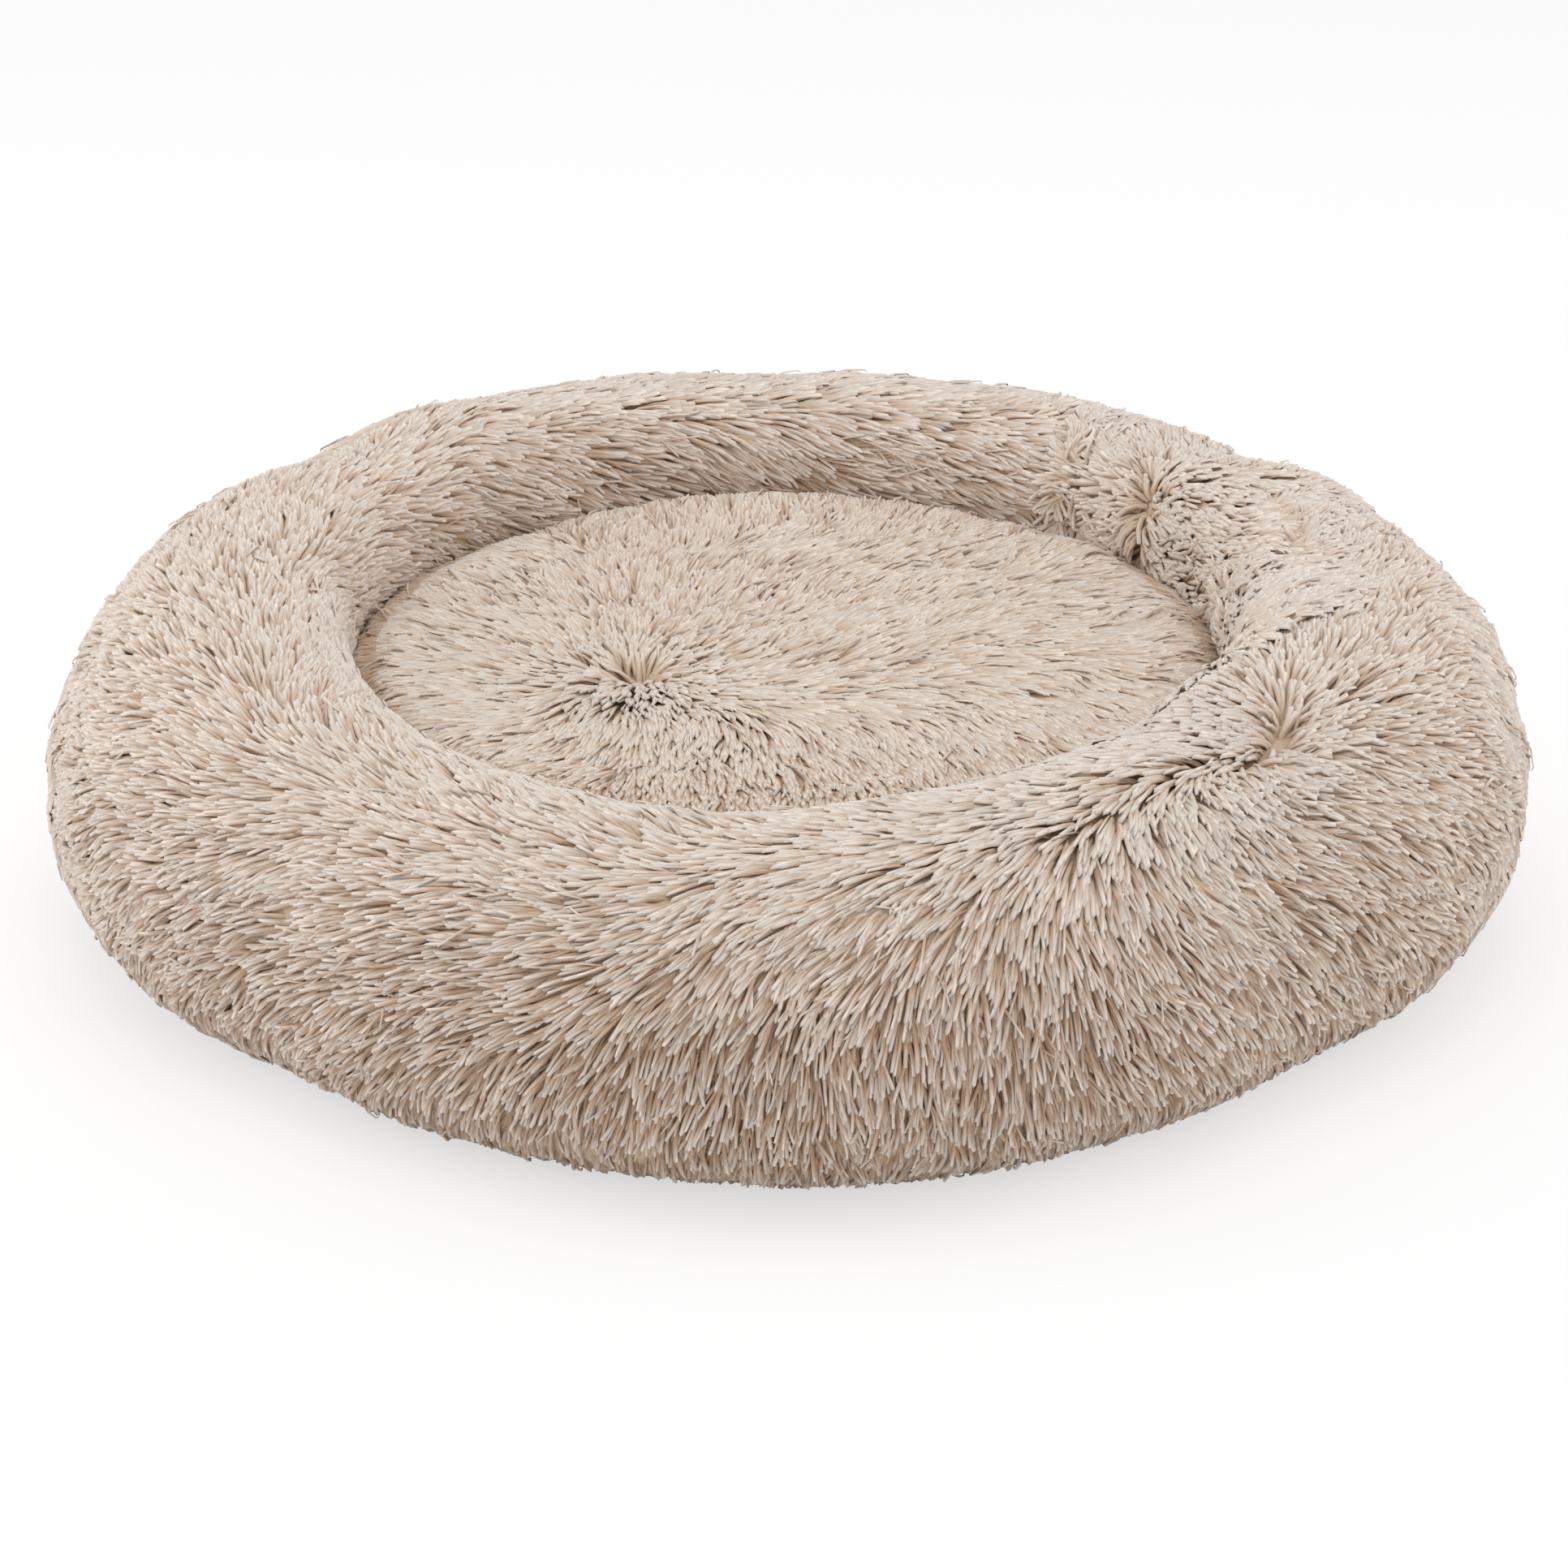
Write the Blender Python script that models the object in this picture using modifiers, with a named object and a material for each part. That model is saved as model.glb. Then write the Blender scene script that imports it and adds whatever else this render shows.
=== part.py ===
"""A round faux fur dog bed: a bolster ring round a domed nest cushion, on a zipped base cloth.

Metres, +Z up, the front towards -Y. The origin is the middle of the bed on the floor that it
rests on. The outside of each fur panel is where the tips of its pile end.
"""

import math

import bmesh
import bpy
from mathutils import Vector

# The ring, from the outside in
BED_RADIUS = 0.400
RING_WIDTH = 0.157
RING_HEIGHT = 0.190
WIDEST_HEIGHT = 0.086
CREST_SETBACK = 0.115
UNDER_TUCK = 0.064
CREST_DROP = 0.045
NEST_SEAM_HEIGHT = 0.108

# The fur: pile and backing together, thinner where it is sewn in
FUR_THICKNESS = 0.014
FUR_SEAM_THICKNESS = 0.004
SEAM_DRAW = 0.007
SEAM_DRAW_SPREAD = math.radians(8)

# The nest cushion
NEST_SIDE_HEIGHT = 0.013
NEST_CROWN_RISE = 0.004
NEST_SHOULDER = 0.026
CUSHION_SIDE_BULGE = 0.006
CUSHION_CORNER = 0.010

# Cloths, and the gaps between pieces
LINER_WALL = 0.001
LINER_SLIT = 0.002
BASE_CLOTH = 0.001
BASE_RECESS = 0.008
RECESS_RAMP = 0.022
GAP = 0.0003
SOFT_GAP = 0.0006
CUT_OVERRUN = 0.010

# The zip in the base: how far in from the nest's edge its chain ends
CHAIN_END_INSET = 0.073
COIL_WIDTH = 0.0022
COIL_HEIGHT = 0.0022
ROW_GAP = 0.0010
TAPE_WIDTH = 0.0150
TAPE_THICKNESS = 0.0006
TAPE_TAIL = 0.0100
STOP_LENGTH = 0.0025
STOP_WALL = 0.0004

# The slider and its pull
SLIDER_LENGTH = 0.0110
SLIDER_WING = 0.0012
SLIDER_FLANGE = 0.0010
SLIDER_POST_LENGTH = 0.0040
SLIDER_CLEARANCE = 0.0003
SLIDER_ROUNDING = 0.0004
BRIDGE_SPAN = 0.0070
BRIDGE_WIDTH = 0.0018
BRIDGE_BAR = 0.0009
PULL_LENGTH = 0.0280
PULL_WIDTH = 0.0060
PULL_THICKNESS = 0.0011
PULL_BAR = 0.0011
PULL_EYE_LENGTH = 0.0060
PULL_EYE_SIDE_GAP = 0.0005
PULL_TIP_RADIUS = 0.0022

# The ring's outline isn't a true circle: (lobes round it, where one peaks in degrees, share)
RADIUS_LOBE_SHARES = ((3, 88, 0.0095), (4, 0, 0.0170), (5, -13, 0.0080))
HEIGHT_LOBE_SHARES = ((1, 74, 0.044), (2, -13, 0.058))
# The powers of the rounded quarters that make up the ring's section
UNDER_POWER = 2.4
OUTER_POWER = 2.2

# Where the ring's inner wall stands, and how far out from it the crest lies
INNER_RADIUS = BED_RADIUS - RING_WIDTH
CREST_SHARE = 1 - CREST_SETBACK / RING_WIDTH
BASE_SEAM_RADIUS = BED_RADIUS - UNDER_TUCK
RAMP_END_RADIUS = INNER_RADIUS + RECESS_RAMP

STEPS = 40
STEP_ANGLE = 2 * math.pi / STEPS
UNDER_POINTS = 5
OUTER_POINTS = 6
INNER_POINTS = 4
NEST_CROWN_POINTS = 4
SHOULDER_POINTS = 4
SLIT_STEPS = 2
# Each ring panel: its name, and the steps from +X, anticlockwise, where its seams are
RING_PANELS = (("back", 4, 16), ("left", 16, 25), ("front", 25, 35), ("right", 35, 44))

for leftover in list(bpy.data.objects):
    bpy.data.objects.remove(leftover, do_unlink=True)

parts = bpy.data.collections.new("faux_fur_dog_bed")
cutters = bpy.data.collections.new("cutters")
bpy.context.scene.collection.children.link(parts)
bpy.context.scene.collection.children.link(cutters)


def material(name, colour, roughness, metallic=0.0):
    made = bpy.data.materials.new(name)
    made.use_nodes = True
    shader = made.node_tree.nodes["Principled BSDF"]
    shader.inputs["Base Color"].default_value = (*colour, 1.0)
    shader.inputs["Roughness"].default_value = roughness
    shader.inputs["Metallic"].default_value = metallic
    return made


fur_cloth = material("long pile faux fur", (0.66, 0.55, 0.45), 0.85)
nest_cloth = material("long pile faux fur of the nest", (0.68, 0.57, 0.46), 0.85)
oxford_cloth = material("coated oxford cloth", (0.30, 0.25, 0.20), 0.70)
lining_cloth = material("nonwoven lining", (0.80, 0.79, 0.76), 0.80)
fibre_filling = material("polyester fibre", (0.90, 0.90, 0.88), 0.95)
zip_ribbon = material("woven zip tape", (0.34, 0.28, 0.22), 0.75)
nylon_coil = material("nylon zip coil", (0.30, 0.25, 0.20), 0.40)
zinc_slider = material("plated zinc", (0.62, 0.61, 0.58), 0.30, 1.0)


def finish(obj, finish_material, smooth=True):
    """Gives an object its material and shading."""
    obj.data.materials.append(finish_material)
    if smooth and obj.type == "MESH":
        obj.data.shade_smooth()
        obj.data.set_sharp_from_angle(angle=math.radians(50))
    return obj


def object_from(bm, name, collection=parts):
    mesh = bpy.data.meshes.new(name)
    bm.to_mesh(mesh)
    bm.free()
    obj = bpy.data.objects.new(name, mesh)
    collection.objects.link(obj)
    return obj


def lobes(angle, lobe_shares):
    """A smooth wave round the bed, as a share of the size that it changes."""
    return sum(share * math.cos(count * (angle - math.radians(peak)))
               for count, peak, share in lobe_shares)


def seam_pull(angle):
    """How far the nearest seam draws the ring in at this angle, from 0 to 1."""
    pull = 0.0
    for _, first, _ in RING_PANELS:
        off = math.remainder(angle - first * STEP_ANGLE, 2 * math.pi)
        pull = max(pull, math.exp(-((off / SEAM_DRAW_SPREAD) ** 2)))
    return pull


def mould_ring(bm):
    """Turns a plain spun ring into the stuffed one: uneven, and drawn in at its seams.

    The inner wall keeps its radius, because the nest fits it, and the underside stays flat.
    """
    for vert in bm.verts:
        angle = math.atan2(vert.co.y, vert.co.x)
        radius = math.hypot(vert.co.x, vert.co.y)
        outward = min(max((radius - INNER_RADIUS) / RING_WIDTH, 0.0), 1.0)
        outer_rise = (vert.co.z / RING_HEIGHT) ** 2
        inner_rise = max(vert.co.z - NEST_SEAM_HEIGHT, 0.0) / (RING_HEIGHT - NEST_SEAM_HEIGHT)
        rise = inner_rise + (outer_rise - inner_rise) * min(outward / CREST_SHARE, 1.0)
        draw = SEAM_DRAW * seam_pull(angle)
        radius += outward * (BED_RADIUS * lobes(angle, RADIUS_LOBE_SHARES) - draw)
        height = vert.co.z + rise * (RING_HEIGHT * lobes(angle, HEIGHT_LOBE_SHARES) - draw)
        vert.co = Vector((radius * math.cos(angle), radius * math.sin(angle), height))


def spun(name, points, first_step=0, steps=STEPS, closed=True, mould=None, held_back=0.0):
    """A section of (radius, height) points turned about the Z axis.

    A full turn joins up with itself. A part turn is closed by its two end sections, each held
    back by a small angle.
    """
    whole = steps == STEPS
    start = first_step * STEP_ANGLE + held_back
    sweep = steps * STEP_ANGLE - 2 * held_back
    bm = bmesh.new()
    verts = [bm.verts.new((r * math.cos(start), r * math.sin(start), z)) for r, z in points]
    if whole:
        pairs = list(zip(verts, verts[1:]))
        if closed:
            pairs.append((verts[-1], verts[0]))
        for pair in pairs:
            bm.edges.new(pair)
    else:
        bm.faces.new(verts)
    bmesh.ops.spin(bm, geom=bm.verts[:] + bm.edges[:] + bm.faces[:], cent=(0, 0, 0),
                   axis=(0, 0, 1), dvec=(0, 0, 0), angle=sweep, steps=steps,
                   use_merge=whole, use_duplicate=False)
    bmesh.ops.remove_doubles(bm, verts=bm.verts[:], dist=GAP / 30)
    if mould:
        mould(bm)
    bmesh.ops.recalc_face_normals(bm, faces=bm.faces[:])
    return object_from(bm, name)


def quarter(centre, reach, power, count, rising=True):
    """A rounded quarter of a section: from straight below the centre out to level with it."""
    points = []
    for i in range(count + 1):
        turn = math.pi / 2 * i / count
        along, up = math.sin(turn) ** (2 / power), math.cos(turn) ** (2 / power)
        if not rising:
            along, up = math.cos(turn) ** (2 / power), -math.sin(turn) ** (2 / power)
        points.append((centre[0] + reach[0] * along, centre[1] - reach[1] * up))
    return points


def ring_outline():
    """The ring's outside, from the base seam out, over the crest and down to the nest seam."""
    crest_radius = BED_RADIUS - CREST_SETBACK
    under = quarter((BASE_SEAM_RADIUS, WIDEST_HEIGHT), (UNDER_TUCK, WIDEST_HEIGHT - GAP),
                    UNDER_POWER, UNDER_POINTS)
    outer = quarter((crest_radius, WIDEST_HEIGHT),
                    (CREST_SETBACK, RING_HEIGHT - WIDEST_HEIGHT), OUTER_POWER, OUTER_POINTS,
                    rising=False)
    inner = quarter((crest_radius, RING_HEIGHT - CREST_DROP),
                    (INNER_RADIUS - crest_radius, -CREST_DROP), 2, INNER_POINTS)
    return under[:-1] + outer[:-1] + inner + [(INNER_RADIUS, NEST_SEAM_HEIGHT)]


def set_in(points, depths):
    """The same line of points, each moved to its left by its own depth."""
    moved = []
    for i, (r, z) in enumerate(points):
        before, after = points[max(i - 1, 0)], points[min(i + 1, len(points) - 1)]
        dr, dz = after[0] - before[0], after[1] - before[1]
        size = math.hypot(dr, dz)
        moved.append((r - dz / size * depths[i], z + dr / size * depths[i]))
    return moved


def fur_depths(count, under):
    """The fur's thickness at each point of its outline, plus the depth of a layer under it."""
    depths = [FUR_THICKNESS + under] * count
    for i in range(UNDER_POINTS):
        grown = i / UNDER_POINTS
        depths[i] = FUR_SEAM_THICKNESS + (FUR_THICKNESS - FUR_SEAM_THICKNESS) * grown + under
    return depths


# The fur panels of the ring, sewn to each other, to the base cloth and to the nest
outline = ring_outline()
fur_inside = set_in(outline, fur_depths(len(outline), 0))
half_gap = GAP / 2 / INNER_RADIUS
for side, first, last in RING_PANELS:
    finish(spun("ring_fur_" + side, outline + fur_inside[::-1], first, last - first,
                mould=mould_ring, held_back=half_gap), fur_cloth)


# The bolster in the ring: fibre in a liner bag
def bolster_section(depth, slit=0.0):
    """The bolster's section, this far into it: flat below and upright towards the nest.

    It takes every second point of the fur's line, and so stays inside it.
    """
    curve = set_in(outline, fur_depths(len(outline), SOFT_GAP + depth))[::2]
    floor = BASE_CLOTH + SOFT_GAP + depth
    inner = INNER_RADIUS + FUR_THICKNESS + SOFT_GAP + depth
    flat_start = RAMP_END_RADIUS + CUSHION_CORNER + depth
    middle = NEST_SEAM_HEIGHT / 2
    upright = [(inner, middle + slit / 2), (inner, middle - slit / 2)] if slit else []
    return curve + upright + [(flat_start, floor)]


def open_slit(obj, near_radius):
    """Leaves out a bag's narrow band of faces at this radius, over its first few steps."""
    bm = bmesh.new()
    bm.from_mesh(obj.data)
    band = []
    for face in bm.faces:
        centre = face.calc_center_median()
        turned = math.atan2(centre.y, centre.x) % (2 * math.pi)
        heights = [vert.co.z for vert in face.verts]
        near = abs(math.hypot(centre.x, centre.y) - near_radius) < CUSHION_CORNER
        if near and max(heights) - min(heights) < LINER_SLIT * 2 and turned < SLIT_STEPS * STEP_ANGLE:
            band.append(face)
    bmesh.ops.delete(bm, geom=band, context="FACES")
    bm.to_mesh(obj.data)
    bm.free()


def walled(obj):
    """Gives an open bag the thickness of its cloth, inwards."""
    shell = obj.modifiers.new("cloth", "SOLIDIFY")
    shell.thickness = LINER_WALL
    shell.offset = -1
    shell.use_even_offset = True
    return obj


bolster_liner = spun("bolster_liner", bolster_section(0, LINER_SLIT), mould=mould_ring)
open_slit(bolster_liner, INNER_RADIUS + FUR_THICKNESS)
finish(walled(bolster_liner), lining_cloth)
finish(spun("bolster_filling", bolster_section(LINER_WALL + SOFT_GAP), mould=mould_ring),
       fibre_filling)


# The nest's fur panel, a shallow dome with a rounded shoulder
def nest_curve():
    """The nest's outside, from its middle out over the shoulder and down to the seam."""
    edge = INNER_RADIUS - SOFT_GAP
    flat_radius = edge - NEST_SHOULDER
    shoulder_top = NEST_SEAM_HEIGHT + NEST_SIDE_HEIGHT + NEST_SHOULDER
    crown = []
    for i in range(NEST_CROWN_POINTS):
        out = i / NEST_CROWN_POINTS
        crown.append((flat_radius * out, shoulder_top + NEST_CROWN_RISE * (1 - out * out)))
    shoulder = quarter((flat_radius, shoulder_top - NEST_SHOULDER),
                       (NEST_SHOULDER, -NEST_SHOULDER), 2, SHOULDER_POINTS)
    return crown + shoulder + [(edge, NEST_SEAM_HEIGHT)]


def under_nest(depth):
    """The nest's line, this far beneath its outside."""
    points = set_in(nest_curve(), [-depth] * len(nest_curve()))
    return [(0, points[0][1])] + points[1:]


finish(spun("nest_fur", nest_curve() + under_nest(FUR_THICKNESS)[::-1], closed=False), nest_cloth)

# Heights and half widths of the zip, from the base cloth that carries it
cloth_top = BASE_RECESS + BASE_CLOTH
tape_low = cloth_top + GAP
zip_level = tape_low + TAPE_THICKNESS / 2
row_outside = ROW_GAP / 2 + COIL_WIDTH
tape_inside = row_outside + GAP
tape_outside = tape_inside + TAPE_WIDTH
chain_end = INNER_RADIUS - CHAIN_END_INSET
stop_start = chain_end + GAP
stop_end = stop_start + STOP_LENGTH
tape_end = stop_end + TAPE_TAIL
channel_half_height = COIL_HEIGHT / 2 + SLIDER_CLEARANCE
channel_half_width = row_outside + SLIDER_CLEARANCE
slider_half_height = channel_half_height + SLIDER_WING
slider_half_width = channel_half_width + SLIDER_FLANGE
slot_half_width = slider_half_width + 2 * SLIDER_CLEARANCE


# The cushion in the nest: fibre in a liner bag, lifted a little where it lies on the zip
def cushion_section(depth, slit=0.0):
    """The cushion's section, this far into it."""
    top = under_nest(FUR_THICKNESS + SOFT_GAP + depth)
    side = INNER_RADIUS - FUR_THICKNESS + CUSHION_SIDE_BULGE - depth
    rim = cloth_top + SOFT_GAP + depth
    dish = zip_level + slider_half_height + SOFT_GAP + depth
    dish_radius = math.hypot(tape_end, tape_outside) + SOFT_GAP + depth
    middle = NEST_SEAM_HEIGHT / 2
    waist = [(side, middle + slit / 2), (side, middle - slit / 2)] if slit else [(side, middle)]
    corner = [(side, rim + CUSHION_CORNER), (side - CUSHION_CORNER, rim)]
    dished = [(dish_radius + CUSHION_CORNER, rim), (dish_radius, dish), (0, dish)]
    return top + waist + corner + dished


cushion_liner = spun("cushion_liner", cushion_section(0, LINER_SLIT), closed=False)
open_slit(cushion_liner, INNER_RADIUS - FUR_THICKNESS + CUSHION_SIDE_BULGE)
finish(walled(cushion_liner), lining_cloth)
finish(spun("cushion_filling", cushion_section(LINER_WALL + SOFT_GAP), closed=False), fibre_filling)


def box(name, low, high, collection=parts):
    """A box between two corners, with its origin at its middle."""
    bm = bmesh.new()
    bmesh.ops.create_cube(bm, size=1)
    bmesh.ops.scale(bm, vec=[b - a for a, b in zip(low, high)], verts=bm.verts)
    obj = object_from(bm, name, collection)
    obj.location = [(a + b) / 2 for a, b in zip(low, high)]
    if collection is cutters:
        obj.hide_render = True
        obj.display_type = "WIRE"
    return obj


def cut(obj, cutter, operation="DIFFERENCE"):
    boolean = obj.modifiers.new(cutter.name, "BOOLEAN")
    boolean.operation = operation
    boolean.solver = "EXACT"
    boolean.object = cutter


def rounded(obj, width, segments=2):
    bevel = obj.modifiers.new("rounding", "BEVEL")
    bevel.width = width
    bevel.segments = segments
    bevel.limit_method = "ANGLE"
    return obj


# The base cloth: two half rounds, lifted in the middle so that the zip clears the floor
base_section = [(0, BASE_RECESS), (INNER_RADIUS, BASE_RECESS), (RAMP_END_RADIUS, 0),
                (BASE_SEAM_RADIUS - GAP, 0), (BASE_SEAM_RADIUS - GAP, BASE_CLOTH),
                (RAMP_END_RADIUS, BASE_CLOTH), (INNER_RADIUS, cloth_top), (0, cloth_top)]
slot_end = stop_end + 2 * SLIDER_CLEARANCE
zip_slot = box("zip_slot", (-slot_end, -slot_half_width, -CUT_OVERRUN),
               (slot_end, slot_half_width, cloth_top + CUT_OVERRUN), cutters)
reach = BED_RADIUS + CUT_OVERRUN
for side, facing in (("front", -1), ("back", 1)):
    half = spun("base_cloth_" + side, base_section, closed=False, mould=mould_ring)
    edges = sorted((facing * GAP / 2, -facing * reach))
    other_half = box("past_" + side, (-reach, edges[0], -CUT_OVERRUN),
                     (reach, edges[1], cloth_top + CUT_OVERRUN), cutters)
    cut(half, other_half)
    cut(half, zip_slot)
    finish(half, oxford_cloth)

# The zip's tapes, coils and stops
for side, facing in (("front", -1), ("back", 1)):
    tape_edges = sorted((facing * tape_inside, facing * tape_outside))
    tape = box("zip_tape_" + side, (-tape_end, tape_edges[0], tape_low),
               (tape_end, tape_edges[1], tape_low + TAPE_THICKNESS))
    finish(tape, zip_ribbon)
    row_edges = sorted((facing * ROW_GAP / 2, facing * row_outside))
    coil = box("zip_coil_" + side, (-chain_end, row_edges[0], zip_level - COIL_HEIGHT / 2),
               (chain_end, row_edges[1], zip_level + COIL_HEIGHT / 2))
    finish(rounded(coil, COIL_HEIGHT / 4), nylon_coil)
    stop_half_height = COIL_HEIGHT / 2 + STOP_WALL
    stop = box("zip_top_stop_" + side, (-stop_end, row_edges[0], zip_level - stop_half_height),
               (-stop_start, row_edges[1], zip_level + stop_half_height))
    finish(rounded(stop, STOP_WALL), zinc_slider)
bottom_stop = box("zip_bottom_stop", (stop_start, -row_outside, zip_level - stop_half_height),
                  (stop_end, row_outside, zip_level + stop_half_height))
finish(rounded(bottom_stop, STOP_WALL), zinc_slider)

# The slider, at the closed end of the chain: two wings on a thin post between the rows
slider_x = -chain_end + SLIDER_LENGTH
slider_place = bpy.data.objects.new("slider_place", None)
slider_place.location = (slider_x, 0, zip_level)
parts.objects.link(slider_place)
slider = box("zip_slider", (-SLIDER_LENGTH / 2, -slider_half_width, -slider_half_height),
             (SLIDER_LENGTH / 2, slider_half_width, slider_half_height))
slider.parent = slider_place
rounded(slider, SLIDER_ROUNDING)


def slider_box(name, low, high, collection=cutters):
    made = box(name, low, high, collection)
    made.parent = slider_place
    return made


past_end = SLIDER_LENGTH / 2 + CUT_OVERRUN
past_side = slider_half_width + CUT_OVERRUN
post_half_width = ROW_GAP / 2 - SLIDER_CLEARANCE
tape_slot = TAPE_THICKNESS / 2 + SLIDER_CLEARANCE
for side, facing in (("front", -1), ("back", 1)):
    across = sorted((facing * post_half_width, facing * channel_half_width))
    cut(slider, slider_box("row_channel_" + side, (-past_end, across[0], -channel_half_height),
                           (past_end, across[1], channel_half_height)))
    across = sorted((facing * row_outside, facing * past_side))
    cut(slider, slider_box("tape_channel_" + side, (-past_end, across[0], -tape_slot),
                           (past_end, across[1], tape_slot)))
post_end = SLIDER_POST_LENGTH - SLIDER_LENGTH / 2
cut(slider, slider_box("throat", (post_end, -ROW_GAP, -channel_half_height),
                       (past_end, ROW_GAP, channel_half_height)))

# The slider's bridge, a low arch under it that the pull's end bar turns in
arch_room = math.hypot(PULL_BAR, PULL_THICKNESS) + 2 * SLIDER_CLEARANCE
bridge_low = -slider_half_height - arch_room - BRIDGE_BAR
bridge = slider_box("bridge", (-BRIDGE_SPAN / 2, -BRIDGE_WIDTH / 2, bridge_low),
                    (BRIDGE_SPAN / 2, BRIDGE_WIDTH / 2, -channel_half_height - SLIDER_WING / 2))
rounded(bridge, BRIDGE_BAR / 3, 1)
window_half_length = BRIDGE_SPAN / 2 - BRIDGE_BAR
cut(bridge, slider_box("bridge_window",
                       (-window_half_length, -BRIDGE_WIDTH, bridge_low + BRIDGE_BAR),
                       (window_half_length, BRIDGE_WIDTH, -slider_half_height)))
cut(slider, bridge, "UNION")
finish(slider, zinc_slider)

# The pull, a flat tab with an eye, lying along the chain from its end bar in the arch
pull_axis_level = zip_level - slider_half_height - arch_room / 2


def rounded_loop(low, high, half_width, radius, corner_points=4):
    """A flat outline with round corners, along X."""
    points = []
    corners = ((high - radius, half_width - radius, 0), (low + radius, half_width - radius, 90),
               (low + radius, radius - half_width, 180), (high - radius, radius - half_width, 270))
    for x, y, first_turn in corners:
        for i in range(corner_points + 1):
            turn = math.radians(first_turn + 90 * i / corner_points)
            points.append((x + radius * math.cos(turn), y + radius * math.sin(turn)))
    return points


def flat_plate(name, loops, thickness):
    """A plate cut to one outline, with the other outlines as holes in it."""
    curve = bpy.data.curves.new(name, "CURVE")
    curve.dimensions = "2D"
    curve.fill_mode = "BOTH"
    curve.extrude = thickness / 2
    for loop in loops:
        spline = curve.splines.new("POLY")
        spline.points.add(len(loop) - 1)
        for point, (x, y) in zip(spline.points, loop):
            point.co = (x, y, 0, 1)
        spline.use_cyclic_u = True
    obj = bpy.data.objects.new(name, curve)
    parts.objects.link(obj)
    return obj


eye_half_width = BRIDGE_WIDTH / 2 + PULL_EYE_SIDE_GAP
pull = flat_plate("zip_pull", (
    rounded_loop(-PULL_BAR / 2, PULL_LENGTH, PULL_WIDTH / 2, PULL_TIP_RADIUS),
    rounded_loop(PULL_BAR / 2, PULL_BAR / 2 + PULL_EYE_LENGTH, eye_half_width,
                 eye_half_width / 2, 2),
), PULL_THICKNESS)
pull.location = (slider_x, 0, pull_axis_level)
finish(pull, zinc_slider)
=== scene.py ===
import math

import bmesh
import bpy
import numpy as np
from mathutils import Euler, Matrix, Vector, geometry, kdtree
from mathutils.bvhtree import BVHTree


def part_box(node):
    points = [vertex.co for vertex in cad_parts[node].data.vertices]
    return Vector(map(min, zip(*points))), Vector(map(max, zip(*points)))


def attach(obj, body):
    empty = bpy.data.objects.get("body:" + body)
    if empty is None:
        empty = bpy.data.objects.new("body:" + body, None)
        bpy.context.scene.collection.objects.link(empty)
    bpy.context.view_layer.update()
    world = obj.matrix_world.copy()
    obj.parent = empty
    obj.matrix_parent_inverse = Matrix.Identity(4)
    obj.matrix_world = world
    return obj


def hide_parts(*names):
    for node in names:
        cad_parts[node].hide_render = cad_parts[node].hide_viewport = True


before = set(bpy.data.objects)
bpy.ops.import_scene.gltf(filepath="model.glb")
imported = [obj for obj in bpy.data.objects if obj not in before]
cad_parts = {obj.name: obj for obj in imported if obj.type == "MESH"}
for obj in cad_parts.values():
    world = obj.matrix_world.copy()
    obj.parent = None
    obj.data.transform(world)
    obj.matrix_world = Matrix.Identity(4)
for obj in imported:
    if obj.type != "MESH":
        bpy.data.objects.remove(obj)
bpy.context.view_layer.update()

scene = bpy.context.scene

# The camera
# It stands in front of the bed, three metres away and looking 24 degrees down on it, with the
# long lens that the bed's outline in the photograph calls for.
PHOTO_PIXELS = 1932
PHOTO_MIDDLE = (970.8, 905.2)
FOCAL_PIXELS = 6589
SENSOR_WIDTH_MM = 36
CAMERA_AIM = Vector((0, 0, 0.09))
CAMERA_DISTANCE = 2.994
CAMERA_DOWN = math.radians(24.2)
CAMERA_NEAR = 0.05


def placed(name, data):
    """A new object of this data, in the scene."""
    obj = bpy.data.objects.new(name, data)
    scene.collection.objects.link(obj)
    return obj


camera = placed("camera", bpy.data.cameras.new("camera"))
scene.camera = camera
camera.data.sensor_width = SENSOR_WIDTH_MM
camera.data.lens = FOCAL_PIXELS / PHOTO_PIXELS * SENSOR_WIDTH_MM
camera.data.shift_x = 0.5 - PHOTO_MIDDLE[0] / PHOTO_PIXELS
camera.data.shift_y = PHOTO_MIDDLE[1] / PHOTO_PIXELS - 0.5
camera.data.clip_start = CAMERA_NEAR
camera.rotation_euler = Euler((math.pi / 2 - CAMERA_DOWN, 0, 0))
camera_turn = camera.rotation_euler.to_matrix()
camera.location = CAMERA_AIM + camera_turn @ Vector((0, 0, CAMERA_DISTANCE))


def sight_line(x, y):
    """The direction from the camera through this pixel of the photograph."""
    across = (x - PHOTO_MIDDLE[0]) / FOCAL_PIXELS
    up = (PHOTO_MIDDLE[1] - y) / FOCAL_PIXELS
    return (camera_turn @ Vector((across, up, -1))).normalized()


# The ring's backing
# A tube in four lengths, sewn end to end: knitted polyester cloth under a dense, felted underpile,
# which the long pile is rooted in. It is stretched over the bolster and drawn in at its four seams.
BED_RADIUS = 0.400
RING_WIDTH = 0.157
RING_HEIGHT = 0.190
WIDEST_HEIGHT = 0.086
CREST_SETBACK = 0.115
UNDER_TUCK = 0.064
CREST_DROP = 0.045
NEST_SEAM_HEIGHT = 0.108
FUR_THICKNESS = 0.014
FUR_SEAM_THICKNESS = 0.004
UNDERPILE_SHARE = 0.62
SEAM_DRAW = 0.007
SEAM_DRAW_SPREAD = math.radians(8)
SEAM_GAP = 0.0003
RADIUS_LOBE_SHARES = ((3, 88, 0.0095), (4, 0, 0.0170), (5, -13, 0.0080))
HEIGHT_LOBE_SHARES = ((1, 74, 0.044), (2, -13, 0.058))
UNDER_POWER = 2.4
OUTER_POWER = 2.2
INNER_RADIUS = BED_RADIUS - RING_WIDTH
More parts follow.
